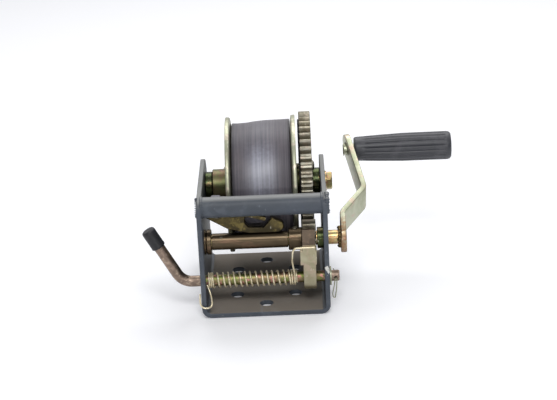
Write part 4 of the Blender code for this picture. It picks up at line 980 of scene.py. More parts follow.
def tooth_sector(teeth, shift, first_tooth, bore, low, high, chamfer):
    """One tooth of a gear and its slice of the disc, in millimetres, as a bmesh."""
    pitch = MODULE * teeth / 2
    base = pitch * math.cos(PRESSURE)
    tip = pitch + MODULE * (1 + shift) - 0.15
    root = pitch - MODULE * (1.25 - shift)
    flank = [max(base, root) + (tip - max(base, root)) * k / 7 for k in range(8)]
    edge = math.pi / teeth
    half = [(root, edge), (root, (edge + half_tooth(flank[0], teeth, shift)) / 2 + 0.35 / root)]
    half += [(root + 0.45, half_tooth(flank[0], teeth, shift) + 0.12 / root)]
    half += [(r, half_tooth(r, teeth, shift)) for r in flank if r > root + 0.5]
    tip_half = half[-1][1]
    half[-1] = (tip - 0.18, tip_half)
    half += [(tip, tip_half - 0.25 / tip), (tip, 0.0)]
    line = [(r, first_tooth - a) for r, a in half] + [(r, first_tooth + a) for r, a in reversed(half[:-1])]
    small = []
    for r, a in line:
        off = a - first_tooth
        inner = min(abs(off), edge) if r <= root + 0.01 else max(abs(off) - chamfer * 0.7 / r, 0.0)
        small.append((r - chamfer, first_tooth + math.copysign(inner, off)))
    bore_line = [(bore, first_tooth + edge * (2 * i / (len(line) - 1) - 1)) for i in range(len(line))]
    bm = bmesh.new()

    def row(points, x):
        return [bm.verts.new((x, r * math.cos(a), r * math.sin(a))) for r, a in points]

    rows = [row(bore_line, low), row(small, low), row(line, low + chamfer), row(line, high - chamfer),
            row(small, high), row(bore_line, high)]
    for first, second in zip(rows, rows[1:] + rows[:1]):
        for i in range(len(line) - 1):
            bm.faces.new((first[i], first[i + 1], second[i + 1], second[i]))
    return bm


def gear_piece(name, teeth, shift, first_tooth, bore, low, high, chamfer, centre, finish):
    sector = mesh_object(name, tooth_sector(teeth, shift, first_tooth, bore, low, high, chamfer), finish)
    mesh = sector.data
    bpy.data.objects.remove(sector, do_unlink=True)
    made = run_tree(name, around_tree, mesh, Count=teeth, Centre=centre * MM, Material=finish)
    made.data.shade_smooth()
    made.data.set_sharp_from_angle(angle=math.radians(28))
    return made


pinion_low, pinion_high = node_box("pinion")
wheel = gear_piece("gear_wheel", 48, -0.4, math.pi + MESH_TURN, seat + 0.3, gear_low.x, gear_high.x, 0.45, AXLE,
                   gear_zinc)
finish_piece(wheel, "drum", "drum_gear")
# The ring's near-black finish is painted shade for the gap between the wheel and the drum's flange.
backing = mesh_object("gear_backing", spin_outline(eased(gear_low.x - 1.2, gear_low.x - 0.02, 34.5, 54.6, 0.3), 128,
                                                   AXLE), gap_shade_black)
finish_piece(backing, "drum")
small_gear = gear_piece("pinion_gear", 10, 0.4, MESH_TURN + math.pi / 10, 6.3, pinion_low.x, pinion_high.x, 0.5,
                        CRANK, gear_zinc)
finish_piece(small_gear, "crank", "pinion")
print("gear", len(wheel.data.polygons), "pinion", len(small_gear.data.polygons), "faces")

# %% [markdown]
# Four rivets hold the gear to the drum. They stand on one circle, so the same tree repeats one
# turned rivet.

# %% Rivets
RIVET_NODES = [f"gear_rivet_{n}" for n in range(1, 5)]
rivet_low, rivet_high = node_box("gear_rivet_1")
RIVET_CIRCLE = 19.0
shank = 2.5
start_angle = math.radians(23)
rivet_place = Vector((0, RIVET_CIRCLE * math.cos(start_angle), RIVET_CIRCLE * math.sin(start_angle)))
outside = gear_high.x + 0.3
profile = [(rivet_low.x, 0.0), (rivet_low.x, shank), (outside, shank), (outside, shank * 1.9),
           (outside + 0.5, shank * 1.86), (outside + 1.2, shank * 1.6), (outside + 1.75, shank * 1.1),
           (rivet_high.x, shank * 0.4),
           (rivet_high.x, 0.0)]
one_rivet = mesh_object("rivet", spin_outline(profile, 28, rivet_place), gear_zinc)
rivet_mesh = one_rivet.data
bpy.data.objects.remove(one_rivet, do_unlink=True)
rivets = run_tree("gear_rivets", around_tree, rivet_mesh, Count=4, Centre=AXLE * MM, Material=gear_zinc)
rivets.data.shade_smooth()
rivets.data.set_sharp_from_angle(angle=math.radians(35))
finish_piece(rivets, "drum", *RIVET_NODES)
print("rivets", len(rivets.data.polygons), "faces")


# %% [markdown]
# ## Bolts and hexagons
#
# A hexagon head is a turning with flats, whose corners are rounded off by a cone at each face.
# The outline's radius at each angle is the smaller of the flat's and the cone's. A forged head
# has a soft edge.

# %% Hex heads
def hex_turning(profile, count, centre):
    """A solid turning along X from (x, radius, flats, cap) steps. With flats, radius is to a flat, and cap limits it."""
    bm = bmesh.new()
    sections = []
    for x, radius, flats, cap in profile:
        section = []
        for i in range(count):
            angle = 2 * math.pi * (i + 0.5) / count
            reach = radius
            if flats:
                step = 2 * math.pi / 6
                reach = min(radius / math.cos((angle + step / 2) % step - step / 2), cap)
            section.append(centre + Vector((x, reach * math.cos(angle), reach * math.sin(angle))))
        sections.append(section)
    add_loft(bm, sections)
    return bm


def hex_head(low, high, flats):
    """Steps for a hexagon head between two planes, chamfered on its right side."""
    return [(low, flats, True, flats * 1.155), (high - 1.3, flats, True, flats * 1.155),
            (high - 0.7, flats, True, flats * 1.09), (high - 0.25, flats, True, flats * 1.01),
            (high, flats * 0.93, False, 0), (high, flats * 0.55, False, 0)]


bolt_low, bolt_high = node_box("axle_bolt")
washer_low, washer_high = node_box("axle_washer")
flat = min(bolt_high.z - bolt_low.z, bolt_high.y - bolt_low.y) / 2
head_low = washer_high.x + 0.3
bolt = mesh_object("axle_bolt_turned", hex_turning(
    [(bolt_low.x, 3.9, False, 0), (bolt_low.x + 1.0, 4.75, False, 0), (head_low - 0.1, 4.75, False, 0)]
    + hex_head(head_low, bolt_high.x, flat), 72, AXLE), yellow_zinc, 30)
finish_piece(bolt, "frame", "axle_bolt")

strap_bolt_place = Vector((0, AXLE.y + 25.0, AXLE.z))
strap_low, strap_high = node_box("strap_bolt")
nut_low, nut_high = node_box("strap_nut")
shank_start = -FLANGE_OUT - 0.3
strap_head = mesh_object("strap_bolt_turned", hex_turning(
    [(strap_low.x, 5.4, False, 0), (strap_low.x + 0.3, 6.2, True, 6.6), (strap_low.x + 0.9, 6.4, True, 7.39),
     (shank_start, 6.4, True, 7.39), (shank_start, 4.0, False, 0), (strap_high.x - 0.5, 4.0, False, 0),
     (strap_high.x, 3.5, False, 0)], 72, strap_bolt_place), gear_zinc, 30)
finish_piece(strap_head, "drum", "strap_bolt")
nut = mesh_object("strap_nut_turned", hex_turning(
    [(nut_low.x, 5.9, False, 0), (nut_low.x + 0.4, 6.4, True, 7.0), (nut_low.x + 0.8, 6.4, True, 7.39),
     (nut_high.x - 0.8, 6.4, True, 7.39), (nut_high.x - 0.4, 6.4, True, 7.0), (nut_high.x, 5.9, False, 0)],
    72, strap_bolt_place), gear_zinc, 30)
bore = bmesh.new()
drill(bore, strap_bolt_place, "X", 4.3, 200)
nut = cut(nut, bore)
finish_piece(round_edges(nut, 0.15), "drum", "strap_nut")
print("bolts made")

# %% [markdown]
# ## Crank
#
# The shaft runs through both plates. The arm is a flat bar with a joggle: it leaves the shaft
# close to the frame, steps out past the gear's plane and leans back in at the grip. It is lofted
# along its length with a rounded section, so the bends thin and widen nothing. The weld round the
# shaft's end uses the bead tree.

# %% Shaft, hub and pinion screw
shaft_low, shaft_high = node_box("crank_shaft")
arm_low, arm_high = node_box("crank_arm")
shaft_outline = [(shaft_low.x, 0.0), (shaft_low.x, 5.2), (shaft_low.x + 0.8, 6.0), (shaft_high.x - 0.5, 6.0),
                 (shaft_high.x, 5.5), (shaft_high.x, 0.0)]
shaft = mesh_object("shaft", spin_outline(shaft_outline, 72, CRANK), yellow_zinc)
finish_piece(shaft, "crank", "crank_shaft")
hub_box_low, hub_box_high = node_box("pinion_hub")
pinion_collar = mesh_object("pinion_hub_turned", spin_outline(
    eased(hub_box_low.x, hub_box_high.x, 6.3, 9.5, 0.7), 80, CRANK), brown_zinc)
hole = bmesh.new()
screw_low, screw_high = node_box("set_screw")
screw_middle = (screw_low + screw_high) / 2
drill(hole, (screw_middle.x, CRANK.y, CRANK.z + 9.5), "Z", 2.3, 10, 32)
pinion_collar = cut(pinion_collar, hole)
finish_piece(round_edges(pinion_collar, 0.2), "crank", "pinion_hub")
screw = bmesh.new()
drill(screw, screw_middle, "Z", 2.0, screw_high.z - screw_low.z, 32)
grub = mesh_object("grub_screw", screw, gear_zinc)
socket = bmesh.new()
drill(socket, (screw_middle.x, screw_middle.y, screw_high.z), "Z", 1.15, 2.4, 6)
grub = cut(grub, socket)
finish_piece(round_edges(grub, 0.2), "crank", "set_screw")

# %% [markdown]
# The arm's middle line is three straight runs with bends between, given as how far along the arm
# and how far out from the frame. Stations along it are closer at the rounded ends, where each
# section narrows to follow the end's circle.

# %% Arm
ARM_LEAN = math.radians(63.2)
ARM_WAY = Vector((0.0, math.sin(ARM_LEAN), math.cos(ARM_LEAN)))
ARM_ACROSS = Vector((0.0, -ARM_WAY.z, ARM_WAY.y))
ARM_REACH = 100.0
ARM_HALF = 13.25
ARM_THICK = 4.8
FOOT_X = 67.1
ELBOW_X = 87.0
TOP_X = 76.6
end_drop = ARM_HALF * (ELBOW_X - TOP_X) / (ARM_REACH - 44.0)
arm_line = arc_corners([(-ARM_HALF, FOOT_X, 0), (17.0, FOOT_X, 9.0), (44.0, ELBOW_X, 8.0), (ARM_REACH, TOP_X, 0),
                        (ARM_REACH + ARM_HALF, TOP_X - end_drop, 0)], 12)[:-1] + [
                            (ARM_REACH + ARM_HALF, TOP_X - end_drop)]
stations = []
for (u0, x0), (u1, x1) in zip(arm_line, arm_line[1:]):
    ends = u0 < -1 or u1 > ARM_REACH + 1
    pieces = 26 if ends else max(1, int(abs(u1 - u0) / 3))
    for k in range(pieces):
        share = k / pieces
        if u0 < -1:
            share = (1 - math.cos(share * math.pi / 2))
        elif ends:
            share = math.sin(share * math.pi / 2)
        stations.append((u0 + (u1 - u0) * share, x0 + (x1 - x0) * share))
stations.append(arm_line[-1])


def arm_section(i):
    """A rounded rectangle across the arm at one station."""
    u, x = stations[i]
    before = stations[max(i - 1, 0)]
    after = stations[min(i + 1, len(stations) - 1)]
    along = Vector((after[1] - before[1], after[0] - before[0])).normalized()
    beyond = max(-u, u - ARM_REACH, 0.0)
    reach = math.sqrt(max(ARM_HALF ** 2 - beyond ** 2, 0.6 ** 2))
    out = Vector((along.y, 0, 0)) - ARM_WAY * along.x
    middle = CRANK + ARM_WAY * u + Vector((x, 0, 0))
    edge = min(0.9, reach * 0.8)
    half = ARM_THICK / 2
    ring = []
    for turn, (a, b) in enumerate(((1, 1), (-1, 1), (-1, -1), (1, -1))):
        for k in range(5):
            angle = math.pi / 2 * (turn + k / 4)
            ring.append(middle + ARM_ACROSS * (a * (reach - edge) + edge * math.cos(angle))
                        + out * (b * (half - edge) + edge * math.sin(angle)))
    return ring


arm_mesh = bmesh.new()
add_loft(arm_mesh, [arm_section(i) for i in range(len(stations))])
arm = mesh_object("arm", arm_mesh, pale_zinc, 40)
arm_holes = bmesh.new()
drill(arm_holes, CRANK + Vector((FOOT_X, 0, 0)), "X", 6.3, 20, 56)
drill(arm_holes, Vector((TOP_X, GRIP.y, GRIP.z)), "X", 5.0, 20, 48)
arm = cut(arm, arm_holes)
finish_piece(round_edges(arm, 0.25, 40), "crank", "crank_arm")
weld = run_tree("arm_bead", bead_tree, Radius=8.0 * MM, Ripples=15, Size=2.0 * MM, Unevenness=0.6, Seed=12,
                Centre=(CRANK + Vector((arm_low.x - 0.6, 0, 0))) * MM, Flatness=0.85, Material=burnt_zinc)
weld = remesh(weld, 0.22, burnt_zinc)
finish_piece(weld, "crank", "arm_weld")
print("arm", len(arm.data.polygons), "weld", len(weld.data.polygons), "faces")

# %% [markdown]
# The grip is moulded rubber over the spindle, with lengthwise ribs that fade out at both ends. It
# swells from its root to its outer end, which has a rounded rim.

# %% Grip
grip_low, grip_high = node_box("crank_grip")
spindle_low, spindle_high = node_box("grip_spindle")
GRIP_SPAN = grip_high.x - grip_low.x
FLUTES = 16


def grip_radius(share):
    """The grip's outer radius along its length, from 0 at the arm to 1 at the end."""
    knots = [(0.0, 9.6), (0.012, 10.4), (0.03, 10.6), (0.25, 11.55), (0.5, 12.42), (0.96, 12.5), (0.985, 12.0),
             (1.0, 10.6)]
    for (s0, r0), (s1, r1) in zip(knots, knots[1:]):
        if share <= s1:
            return r0 + (r1 - r0) * (share - s0) / (s1 - s0)
    return knots[-1][1]


shares = [0, 0.006, 0.015, 0.03] + [0.03 + 0.9 * k / 40 for k in range(1, 41)] + [0.945, 0.96, 0.972, 0.985, 0.995, 1]
count = FLUTES * 8
grip_mesh = bmesh.new()
rows = []
for share in shares:
    depth = 0.85 * min(1, max(0, (share - 0.07) / 0.05)) * min(1, max(0, (0.955 - share) / 0.03))
    row = []
    for i in range(count):
        angle = 2 * math.pi * i / count
        groove = max(0.0, math.cos(angle * FLUTES)) ** 3 * depth
        reach = grip_radius(share) - groove
        row.append(Vector((grip_low.x + share * GRIP_SPAN, GRIP.y + reach * math.cos(angle),
                           GRIP.z + reach * math.sin(angle))))
    rows.append(row)
for radius, x in ((8.5, grip_high.x), (7.6, grip_high.x - 0.5), (3.0, grip_high.x - 0.5)):
    rows.append([Vector((x, GRIP.y + radius * math.cos(2 * math.pi * i / count),
                         GRIP.z + radius * math.sin(2 * math.pi * i / count))) for i in range(count)])
bore_end = grip_high.x - 11.5
inner = [[Vector((x, GRIP.y + r * math.cos(2 * math.pi * i / count), GRIP.z + r * math.sin(2 * math.pi * i / count)))
          for i in range(count)] for x, r in ((bore_end, 5.0), (grip_low.x, 5.0))]
add_loft(grip_mesh, inner + rows)
grip_piece = mesh_object("grip_moulding", grip_mesh, grip_rubber, 50)
finish_piece(grip_piece, "grip", "crank_grip")
head_x = spindle_low.x + 1.1
spindle_outline = [(spindle_low.x, 0.0), (spindle_low.x, 3.9), (spindle_low.x + 0.25, 5.2), (head_x - 0.3, 6.1),
                   (head_x, 6.2), (head_x, 4.7), (spindle_high.x - 0.5, 4.7), (spindle_high.x, 4.2),
                   (spindle_high.x, 0.0)]
finish_piece(mesh_object("spindle", spin_outline(spindle_outline, 64, GRIP), pale_zinc), "crank", "grip_spindle")
print("grip", len(grip_piece.data.polygons), "faces")

# %% [markdown]
# ## Wire along a path
#
# The ratchet rod, the torsion spring and the cotter are all round stock bent to a path. The
# script writes each path as a chain of edges, with the radius at each point as an attribute so
# that an end can be chamfered. A geometry tree turns the chain into a curve, and sweeps a circle
# along it.

# %% Wire tree
wire_tree = bpy.data.node_groups.new("wire along a path", "GeometryNodeTree")
for label, kind in (("Geometry", "NodeSocketGeometry"), ("Sides", "NodeSocketInt"),
                    ("Material", "NodeSocketMaterial")):
    wire_tree.interface.new_socket(label, in_out="INPUT", socket_type=kind)
wire_tree.interface.new_socket("Geometry", in_out="OUTPUT", socket_type="NodeSocketGeometry")
start = wire_tree.nodes.new("NodeGroupInput")
line = add_node(wire_tree, "GeometryNodeMeshToCurve", Mesh=start.outputs["Geometry"])
reach = add_node(wire_tree, "GeometryNodeInputNamedAttribute", {"data_type": "FLOAT"}, Name="reach")
sized = add_node(wire_tree, "GeometryNodeSetCurveRadius", Curve=line.outputs[0], Radius=1.0)
around = add_node(wire_tree, "GeometryNodeCurvePrimitiveCircle", Resolution=start.outputs["Sides"], Radius=1.0)
swept = add_node(wire_tree, "GeometryNodeCurveToMesh", Curve=sized.outputs[0], Profile_Curve=around.outputs[0],
                 Fill_Caps=True)
wire_tree.links.new(reach.outputs[0], swept.inputs["Scale"])
real = add_node(wire_tree, "GeometryNodeRealizeInstances", Geometry=swept.outputs[0])
painted = add_node(wire_tree, "GeometryNodeSetMaterial", Geometry=real.outputs[0], Material=start.outputs["Material"])
end = wire_tree.nodes.new("NodeGroupOutput")
wire_tree.links.new(painted.outputs[0], end.inputs[0])


def smooth_path(points, pieces):
    """A Catmull-Rom curve through the points."""
    made = []
    for i in range(len(points) - 1):
        p = [Vector(points[max(i - 1, 0)]), Vector(points[i]), Vector(points[i + 1]),
             Vector(points[min(i + 2, len(points) - 1)])]
        for k in range(pieces):
            t = k / pieces
            made.append(0.5 * (2 * p[1] + (p[2] - p[0]) * t + (2 * p[0] - 5 * p[1] + 4 * p[2] - p[3]) * t * t
                               + (3 * p[1] - p[0] - 3 * p[2] + p[3]) * t ** 3))
    return made + [Vector(points[-1])]


def wire(name, path, radius, finish, sides=16, tip=0.0):
    """Round stock along a path in millimetres, with its ends chamfered by tip."""
    path = [Vector(p) for p in path]
    radii = [radius] * len(path)
    if tip:
        first = (path[1] - path[0]).normalized() * tip
        last = (path[-2] - path[-1]).normalized() * tip
        path = [path[0], path[0] + first] + path[1:-1] + [path[-1] + last, path[-1]]
        radii = [radius - tip, radius] + [radius] * (len(path) - 4) + [radius, radius - tip]
    mesh = bpy.data.meshes.new(name)
    mesh.from_pydata([p * MM for p in path], [(i, i + 1) for i in range(len(path) - 1)], [])
    reach = mesh.attributes.new("reach", "FLOAT", "POINT")
    for item, value in zip(reach.data, radii):
        item.value = value * MM
    made = run_tree(name, wire_tree, mesh, Sides=sides, Material=finish)
    made.data.shade_smooth()
    made.data.set_sharp_from_angle(angle=math.radians(40))
    return made


# %% [markdown]
# The lever is one bent bar: straight through both plates, then up and outwards to a rubber cap.
# The cotter through its far end keeps it in place.

# %% Ratchet rod, cap and cotter
ROD_RADIUS = 4.7
LEVER_ANGLE = math.radians(61.3)
LEVER_CORNER = -70.0
LEVER_LENGTH = 55.0
lever_way = Vector((-math.cos(LEVER_ANGLE), 0, math.sin(LEVER_ANGLE)))
lever_corner = Vector((LEVER_CORNER, ROD.y, ROD.z))
lever_end = lever_corner + lever_way * (LEVER_LENGTH - 3)
bend = arc_corners([(62.5, ROD.z, 0), (LEVER_CORNER, ROD.z, 14.0), (lever_end.x, lever_end.z, 0)], 18)
rod = wire("rod", [(x, ROD.y, z) for x, z in bend], ROD_RADIUS, rod_zinc, 40, 0.8)
pin_hole = bmesh.new()
COTTER_X = 59.2
drill(pin_hole, (COTTER_X, ROD.y, ROD.z), "Y", 1.35, 30, 24)
rod = cut(rod, pin_hole)
finish_piece(round_edges(rod, 0.15), "ratchet", "ratchet_rod")

CAP_LONG = 17.5
cap_outline = [(CAP_LONG - 2.7, 0.0), (CAP_LONG - 2.7, 5.0), (0.3, 5.0), (0.0, 5.3), (0.0, 5.75), (0.35, 6.0),
               (1.6, 6.05), (2.1, 5.9)]
cap_outline += [(CAP_LONG - 2.0 + 2.0 * math.sin(a), 3.9 + 2.0 * math.cos(a))
                for a in [math.pi / 2 * k / 8 for k in range(9)]] + [(CAP_LONG, 0.0)]
cap = spin_outline(cap_outline, 64)
turn = Matrix.Rotation(-math.pi + LEVER_ANGLE, 4, "Y")
cap_place = lever_corner + lever_way * (LEVER_LENGTH - CAP_LONG)
bmesh.ops.transform(cap, matrix=Matrix.Translation(cap_place) @ turn, verts=cap.verts)
finish_piece(mesh_object("lever_cap_moulding", cap, cap_rubber, 40), "ratchet", "lever_cap")

front_of_rod = ROD.y - ROD_RADIUS
clip = [(COTTER_X - 1.6, ROD.y + 9.5, ROD.z + 2.2), (COTTER_X - 0.6, ROD.y + 6.2, ROD.z + 0.2),
        (COTTER_X - 0.5, ROD.y, ROD.z), (COTTER_X - 0.55, front_of_rod - 1.2, ROD.z),
        (COTTER_X - 0.9, front_of_rod - 2.6, ROD.z - 1.6), (COTTER_X - 1.5, front_of_rod - 2.8, ROD.z - 6),
        (COTTER_X - 2.9, front_of_rod - 2.4, ROD.z - 13), (COTTER_X - 2.6, front_of_rod - 2.2, ROD.z - 16.5),
        (COTTER_X - 1.2, front_of_rod - 2.2, ROD.z - 17.2), (COTTER_X - 0.4, front_of_rod - 2.4, ROD.z - 14),
        (COTTER_X + 0.6, front_of_rod - 2.8, ROD.z - 6), (COTTER_X + 0.8, front_of_rod - 2.6, ROD.z - 1.6),
        (COTTER_X + 0.55, front_of_rod - 1.2, ROD.z), (COTTER_X + 0.5, ROD.y, ROD.z),
        (COTTER_X + 0.6, ROD.y + 6.2, ROD.z - 0.2), (COTTER_X + 1.9, ROD.y + 9.0, ROD.z - 2.4)]
cotter = wire("cotter", smooth_path(clip, 6), 0.45, pale_zinc, 12, 0.15)
finish_piece(cotter, "ratchet", "cotter_pin")
print("rod", len(rod.data.polygons), "faces")

# %% [markdown]
# The torsion spring is wound on the rod: three close turns at each end and fourteen open ones
# between. One tail hooks round the left plate's front edge. The other lies across the pawl and
# pushes it towards the pinion.

# %% Torsion spring
SPRING_RADIUS = 6.0
WIRE_RADIUS = 0.75
SPRING_START = -half_width + PLATE + 0.95
SPRING_END = 26.5
CLOSE_TURNS = 3
OPEN_TURNS = 14
CLOSE_PITCH = 1.75
close = CLOSE_TURNS * CLOSE_PITCH
open_pitch = (SPRING_END - SPRING_START - 2 * close) / OPEN_TURNS
turns = OPEN_TURNS + 2 * CLOSE_TURNS


def along_spring(turn):
    """How far along X the wire is after a number of turns. The pitch steps from close to open."""
    if turn < CLOSE_TURNS:
        return SPRING_START + turn * CLOSE_PITCH
    if turn > turns - CLOSE_TURNS:
        return SPRING_END - (turns - turn) * CLOSE_PITCH
    return SPRING_START + close + (turn - CLOSE_TURNS) * open_pitch


coil = []
for k in range(turns * 32 + 1):
    angle = math.radians(200) + 2 * math.pi * k / 32
    sag = 0.25 * math.sin(k / 32 * 2.4)
    coil.append(Vector((along_spring(k / 32) + 0.25 * math.sin(k / 32 * 1.7) * min(1, k / 64) * min(
        1, (turns * 32 - k) / 64), ROD.y + SPRING_RADIUS * math.cos(angle),
        ROD.z + (SPRING_RADIUS + sag * 0.3) * math.sin(angle))))
ahead = front - WIRE_RADIUS - 0.4
left_tail = [(-half_width - 1.2, front + 5.0, 20.5), (-half_width - 1.25, front + 1.5, 17.5),
             (-half_width - 0.8, ahead + 0.4, 13.2), (-half_width + 1.6, ahead, 10.6),
             (-half_width + 5.4, ahead, 10.4), (-half_width + 8.4, ahead + 0.4, 12.8),
             (-half_width + 7.9, ROD.y - SPRING_RADIUS - 5.5, 17.5), (-half_width + 6.3, ROD.y - SPRING_RADIUS - 1.4,
                                                                   22.0)]
pawl_low, pawl_high = node_box("ratchet_pawl")
PAWL_BACK = Matrix.Rotation(math.radians(7.5), 4, "X")
pinion_tip = MODULE * 5 + MODULE * 1.4
face = CRANK.y - pinion_tip - 0.8 - 5.0 - WIRE_RADIUS - 0.3 - ROD.y
wire_up = CRANK.z - ROD.z + 5.2
across = [(SPRING_END - 3.2, face + 2.5, 22), (SPRING_END - 3.0, face, 28), (SPRING_END - 2.4, face, wire_up - 3.2),
          (SPRING_END - 0.9, face, wire_up - 0.8), (SPRING_END + 1.2, face, wire_up),
          (pawl_high.x - 1, face, wire_up + 0.2)]
right_tail = [Vector((SPRING_END - 0.9, ROD.y - SPRING_RADIUS - 1.2, ROD.z + 1.2)),
              Vector((SPRING_END - 1.7, ROD.y - SPRING_RADIUS - 4.0, ROD.z + 8))]
right_tail += [ROD + PAWL_BACK @ Vector(point) for point in across]
path = smooth_path(left_tail + [coil[0]], 8)[:-1] + coil + smooth_path([coil[-1]] + right_tail, 8)[1:]
spring = wire("spring", path, WIRE_RADIUS, wire_zinc, 12, 0.2)
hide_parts("torsion_spring")
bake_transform(spring)
print("spring", len(spring.data.polygons), "faces")


# %% [markdown]
# ## Pawl and latch
#
# These flat parts already have their final outline in the frame, and the frame's mesh is loose
# triangles. A copy is merged and its flat faces are joined, so that its true edges can be rounded
# like a stamped part's.

# %% Refined copies
def refined(name, node, finish, body, bevel):
    """A clean copy of a CAD node with rounded edges."""
    source = frame["nodes"][node]
    bm = bmesh.new()
    bm.from_mesh(source.data)
    bmesh.ops.transform(bm, matrix=source.matrix_world, verts=bm.verts)
    bmesh.ops.remove_doubles(bm, verts=bm.verts, dist=1e-6)
    bmesh.ops.dissolve_limit(bm, angle_limit=math.radians(1.5), verts=bm.verts, edges=bm.edges)
    bmesh.ops.recalc_face_normals(bm, faces=bm.faces)
    mesh = bpy.data.meshes.new(name)
    bm.to_mesh(mesh)
    bm.free()
    mesh.materials.append(finish)
    made = bpy.data.objects.new(name, mesh)
    bpy.context.scene.collection.objects.link(made)
    round_edges(made, bevel, 32.0, 3)
    made.modifiers[-1].use_clamp_overlap = True
    made.modifiers[-1].harden_normals = True
    return finish_piece(made, body, node)


refined("pawl", "ratchet_pawl", pawl_zinc, "ratchet", 0.6)
refined("latch", "hook_latch", gold_zinc, "latch", 0.5)
refined("latch_pin", "hook_pin", pale_zinc, "frame", 0.35)

# %% [markdown]
# ## Snap hook
#
# The hook is forged, so its body is an outline drawn out to its thickness with broad rounded
# edges, then machined for the eye, the latch's pin and slot. It is stowed in front of the
# webbing, above the crank's sleeve.

# %% Hook body
hook_low, hook_high = node_box("hook_body")
hook_floor = hook_low.z
HOOK_MIDDLE = (hook_low.y + hook_high.y) / 2
EYE = Vector((-38.5, HOOK_MIDDLE, CRANK.z + 7.0 + 21.2))
corners = [(EYE.x - 10.8, 16.5, 4), (EYE.x + 8.5, 4.8, 12), (-12, 0.0, 18), (13.5, 0.0, 6), (18, 4.6, 4),
           (16.5, 9.0, 2.5), (7.5, 13.4, 1.8), (4.0, 9.4, 1.2), (0, 5.0, 2.5), (-12.0, 5.4, 3), (-15.5, 10.5, 3),
           (-14.0, 20.0, 3), (-22, 25.0, 4), (EYE.x + 8.5, 31.4, 5), (EYE.x - 6.5, 31.4, 6),
           (EYE.x - 10.8, 25.0, 4)]
outline = arc_corners([(x, hook_floor + z, r) for x, z, r in corners], 8)
hook = mesh_object("hook", prism(outline, hook_low.y, hook_high.y, axis="Y"), gold_zinc, 60)
forged = hook.modifiers.new("forged edges", "BEVEL")
forged.width = 2.3 * MM
forged.segments = 5
forged.limit_method = "ANGLE"
forged.angle_limit = math.radians(60)
hook = evaluated(hook)
machined = bmesh.new()
drill(machined, EYE, "Y", 6.0, 30, 48)
drill(machined, LATCH, "Y", 1.8, 30, 32)
hook = cut(hook, machined)
slot = bmesh.new()
bmesh.ops.create_cube(slot, size=1.0)
slot_low = Vector((LATCH.x - 5, HOOK_MIDDLE - 2.3, hook_floor + 9.5))
slot_high = Vector((LATCH.x + 12, HOOK_MIDDLE + 2.3, hook_floor + 40))
for v in slot.verts:
    v.co = Vector([a + (b - a) * (c + 0.5) for a, b, c in zip(slot_low, slot_high, v.co)])
hook = cut(hook, slot)
finish_piece(round_edges(hook, 0.35, 40), "frame", "hook_body")
print("hook", len(hook.data.polygons), "faces")

# %% [markdown]
# ## Webbing
#
# About six metres of 50 mm webbing are wound on the drum as one continuous strip. Its section is
# a flat band with rounded edges, carried along a spiral. The outer turns aren't quite level: the
# strip rides up on one side, and every turn below it follows in proportion, so the turns never
# cross. A second UV map holds the strip's length and width in metres, and the weave is drawn in
# that space.

# %% Wound strip
STRIP_WIDTH = 50.0
STRIP_THICK = 1.3
TURN_PITCH = 1.46
core = CORE_RADIUS + 0.45
outer = 55.3
TURNS = (outer - STRIP_THICK - core) / TURN_PITCH
PER_TURN = 80


def ride_up(x, angle):
    """How much higher or lower the outer turn lies than its mean radius, in millimetres."""
    top = math.cos(angle)
    level = [(-25, -0.7), (-20, -1.2), (-14, -1.1), (-4, 0.1), (4, 0.7), (14, 1.0), (25, 0.9)]
    lift = level[-1][1]
    for (x0, l0), (x1, l1) in zip(level, level[1:]):
        if x <= x1:
            share = max(0.0, (x - x0) / (x1 - x0))
            lift = l0 + (l1 - l0) * share * share * (3 - 2 * share)
            break
    waves = noise.noise(Vector((x / 14, math.cos(angle) * 1.6, math.sin(angle) * 1.6))) * 0.7
    return lift * (0.45 + 0.55 * top) + 0.9 * (1 - top) / 2 * (-x / 25) + waves


def strip_section(width, thick):
    """A flat band's section as (across, up) pairs, with rounded edges."""
    half = width / 2
    bulge = thick / 2
    flat = half - bulge
    spread = [-flat + 2 * flat * k / 12 for k in range(13)]
    topside = [(x, bulge) for x in reversed(spread)]
    underside = [(x, -bulge) for x in spread]
    return ([(half, 0.0), (half - bulge * 0.3, bulge * 0.7)] + topside + [(-half + bulge * 0.3, bulge * 0.7),
            (-half, 0.0), (-half + bulge * 0.3, -bulge * 0.7)] + underside + [(half - bulge * 0.3, -bulge * 0.7)])


def strap_mesh(name, frames, section, lengths, closed=False):
    """A strip of webbing from a list of functions that place each section point, with its strap UV map."""
    bm = bmesh.new()
    rows = add_loft(bm, [[place(a, b) for a, b in section] for place in frames], ring=closed)
    uv = bm.loops.layers.uv.new("strap")
    where = {}
    for row, length in zip(rows, lengths):
        for vert, (a, b) in zip(row, section):
            where[vert] = (length * MM, a * MM + 0.025)
    for face in bm.faces:
        for loop in face.loops:
            loop[uv].uv = where[loop.vert]
    return mesh_object(name, bm, webbing_finish, 55)


frames = []
lengths = []
length = 0.0
steps = int(TURNS * PER_TURN)
section = strip_section(STRIP_WIDTH, STRIP_THICK)
START_ANGLE = math.radians(250)
before = None
for k in range(steps + 1):
    turn = k / PER_TURN
    angle = START_ANGLE - 2 * math.pi * turn
    radius = core + STRIP_THICK / 2 + TURN_PITCH * turn
    share = (radius - core) / (outer - core)

    def place(a, b, radius=radius, angle=angle, share=share):
        reach = radius + b + ride_up(a, angle) * share
        drift = 0.5 * noise.noise(Vector((radius * 0.9, angle * 0.3, 4.0))) * share
        return Vector((a + 0.35 + drift * 0.6, AXLE.y + reach * math.sin(angle), AXLE.z + reach * math.cos(angle)))

    frames.append(place)
    here = place(0.0, 0.0)
    if before is not None:
        length += (here - before).length
    before = here
    lengths.append(length)
roll = strap_mesh("webbing_wound", frames, section, lengths)
finish_piece(roll, "drum", "webbing_roll")

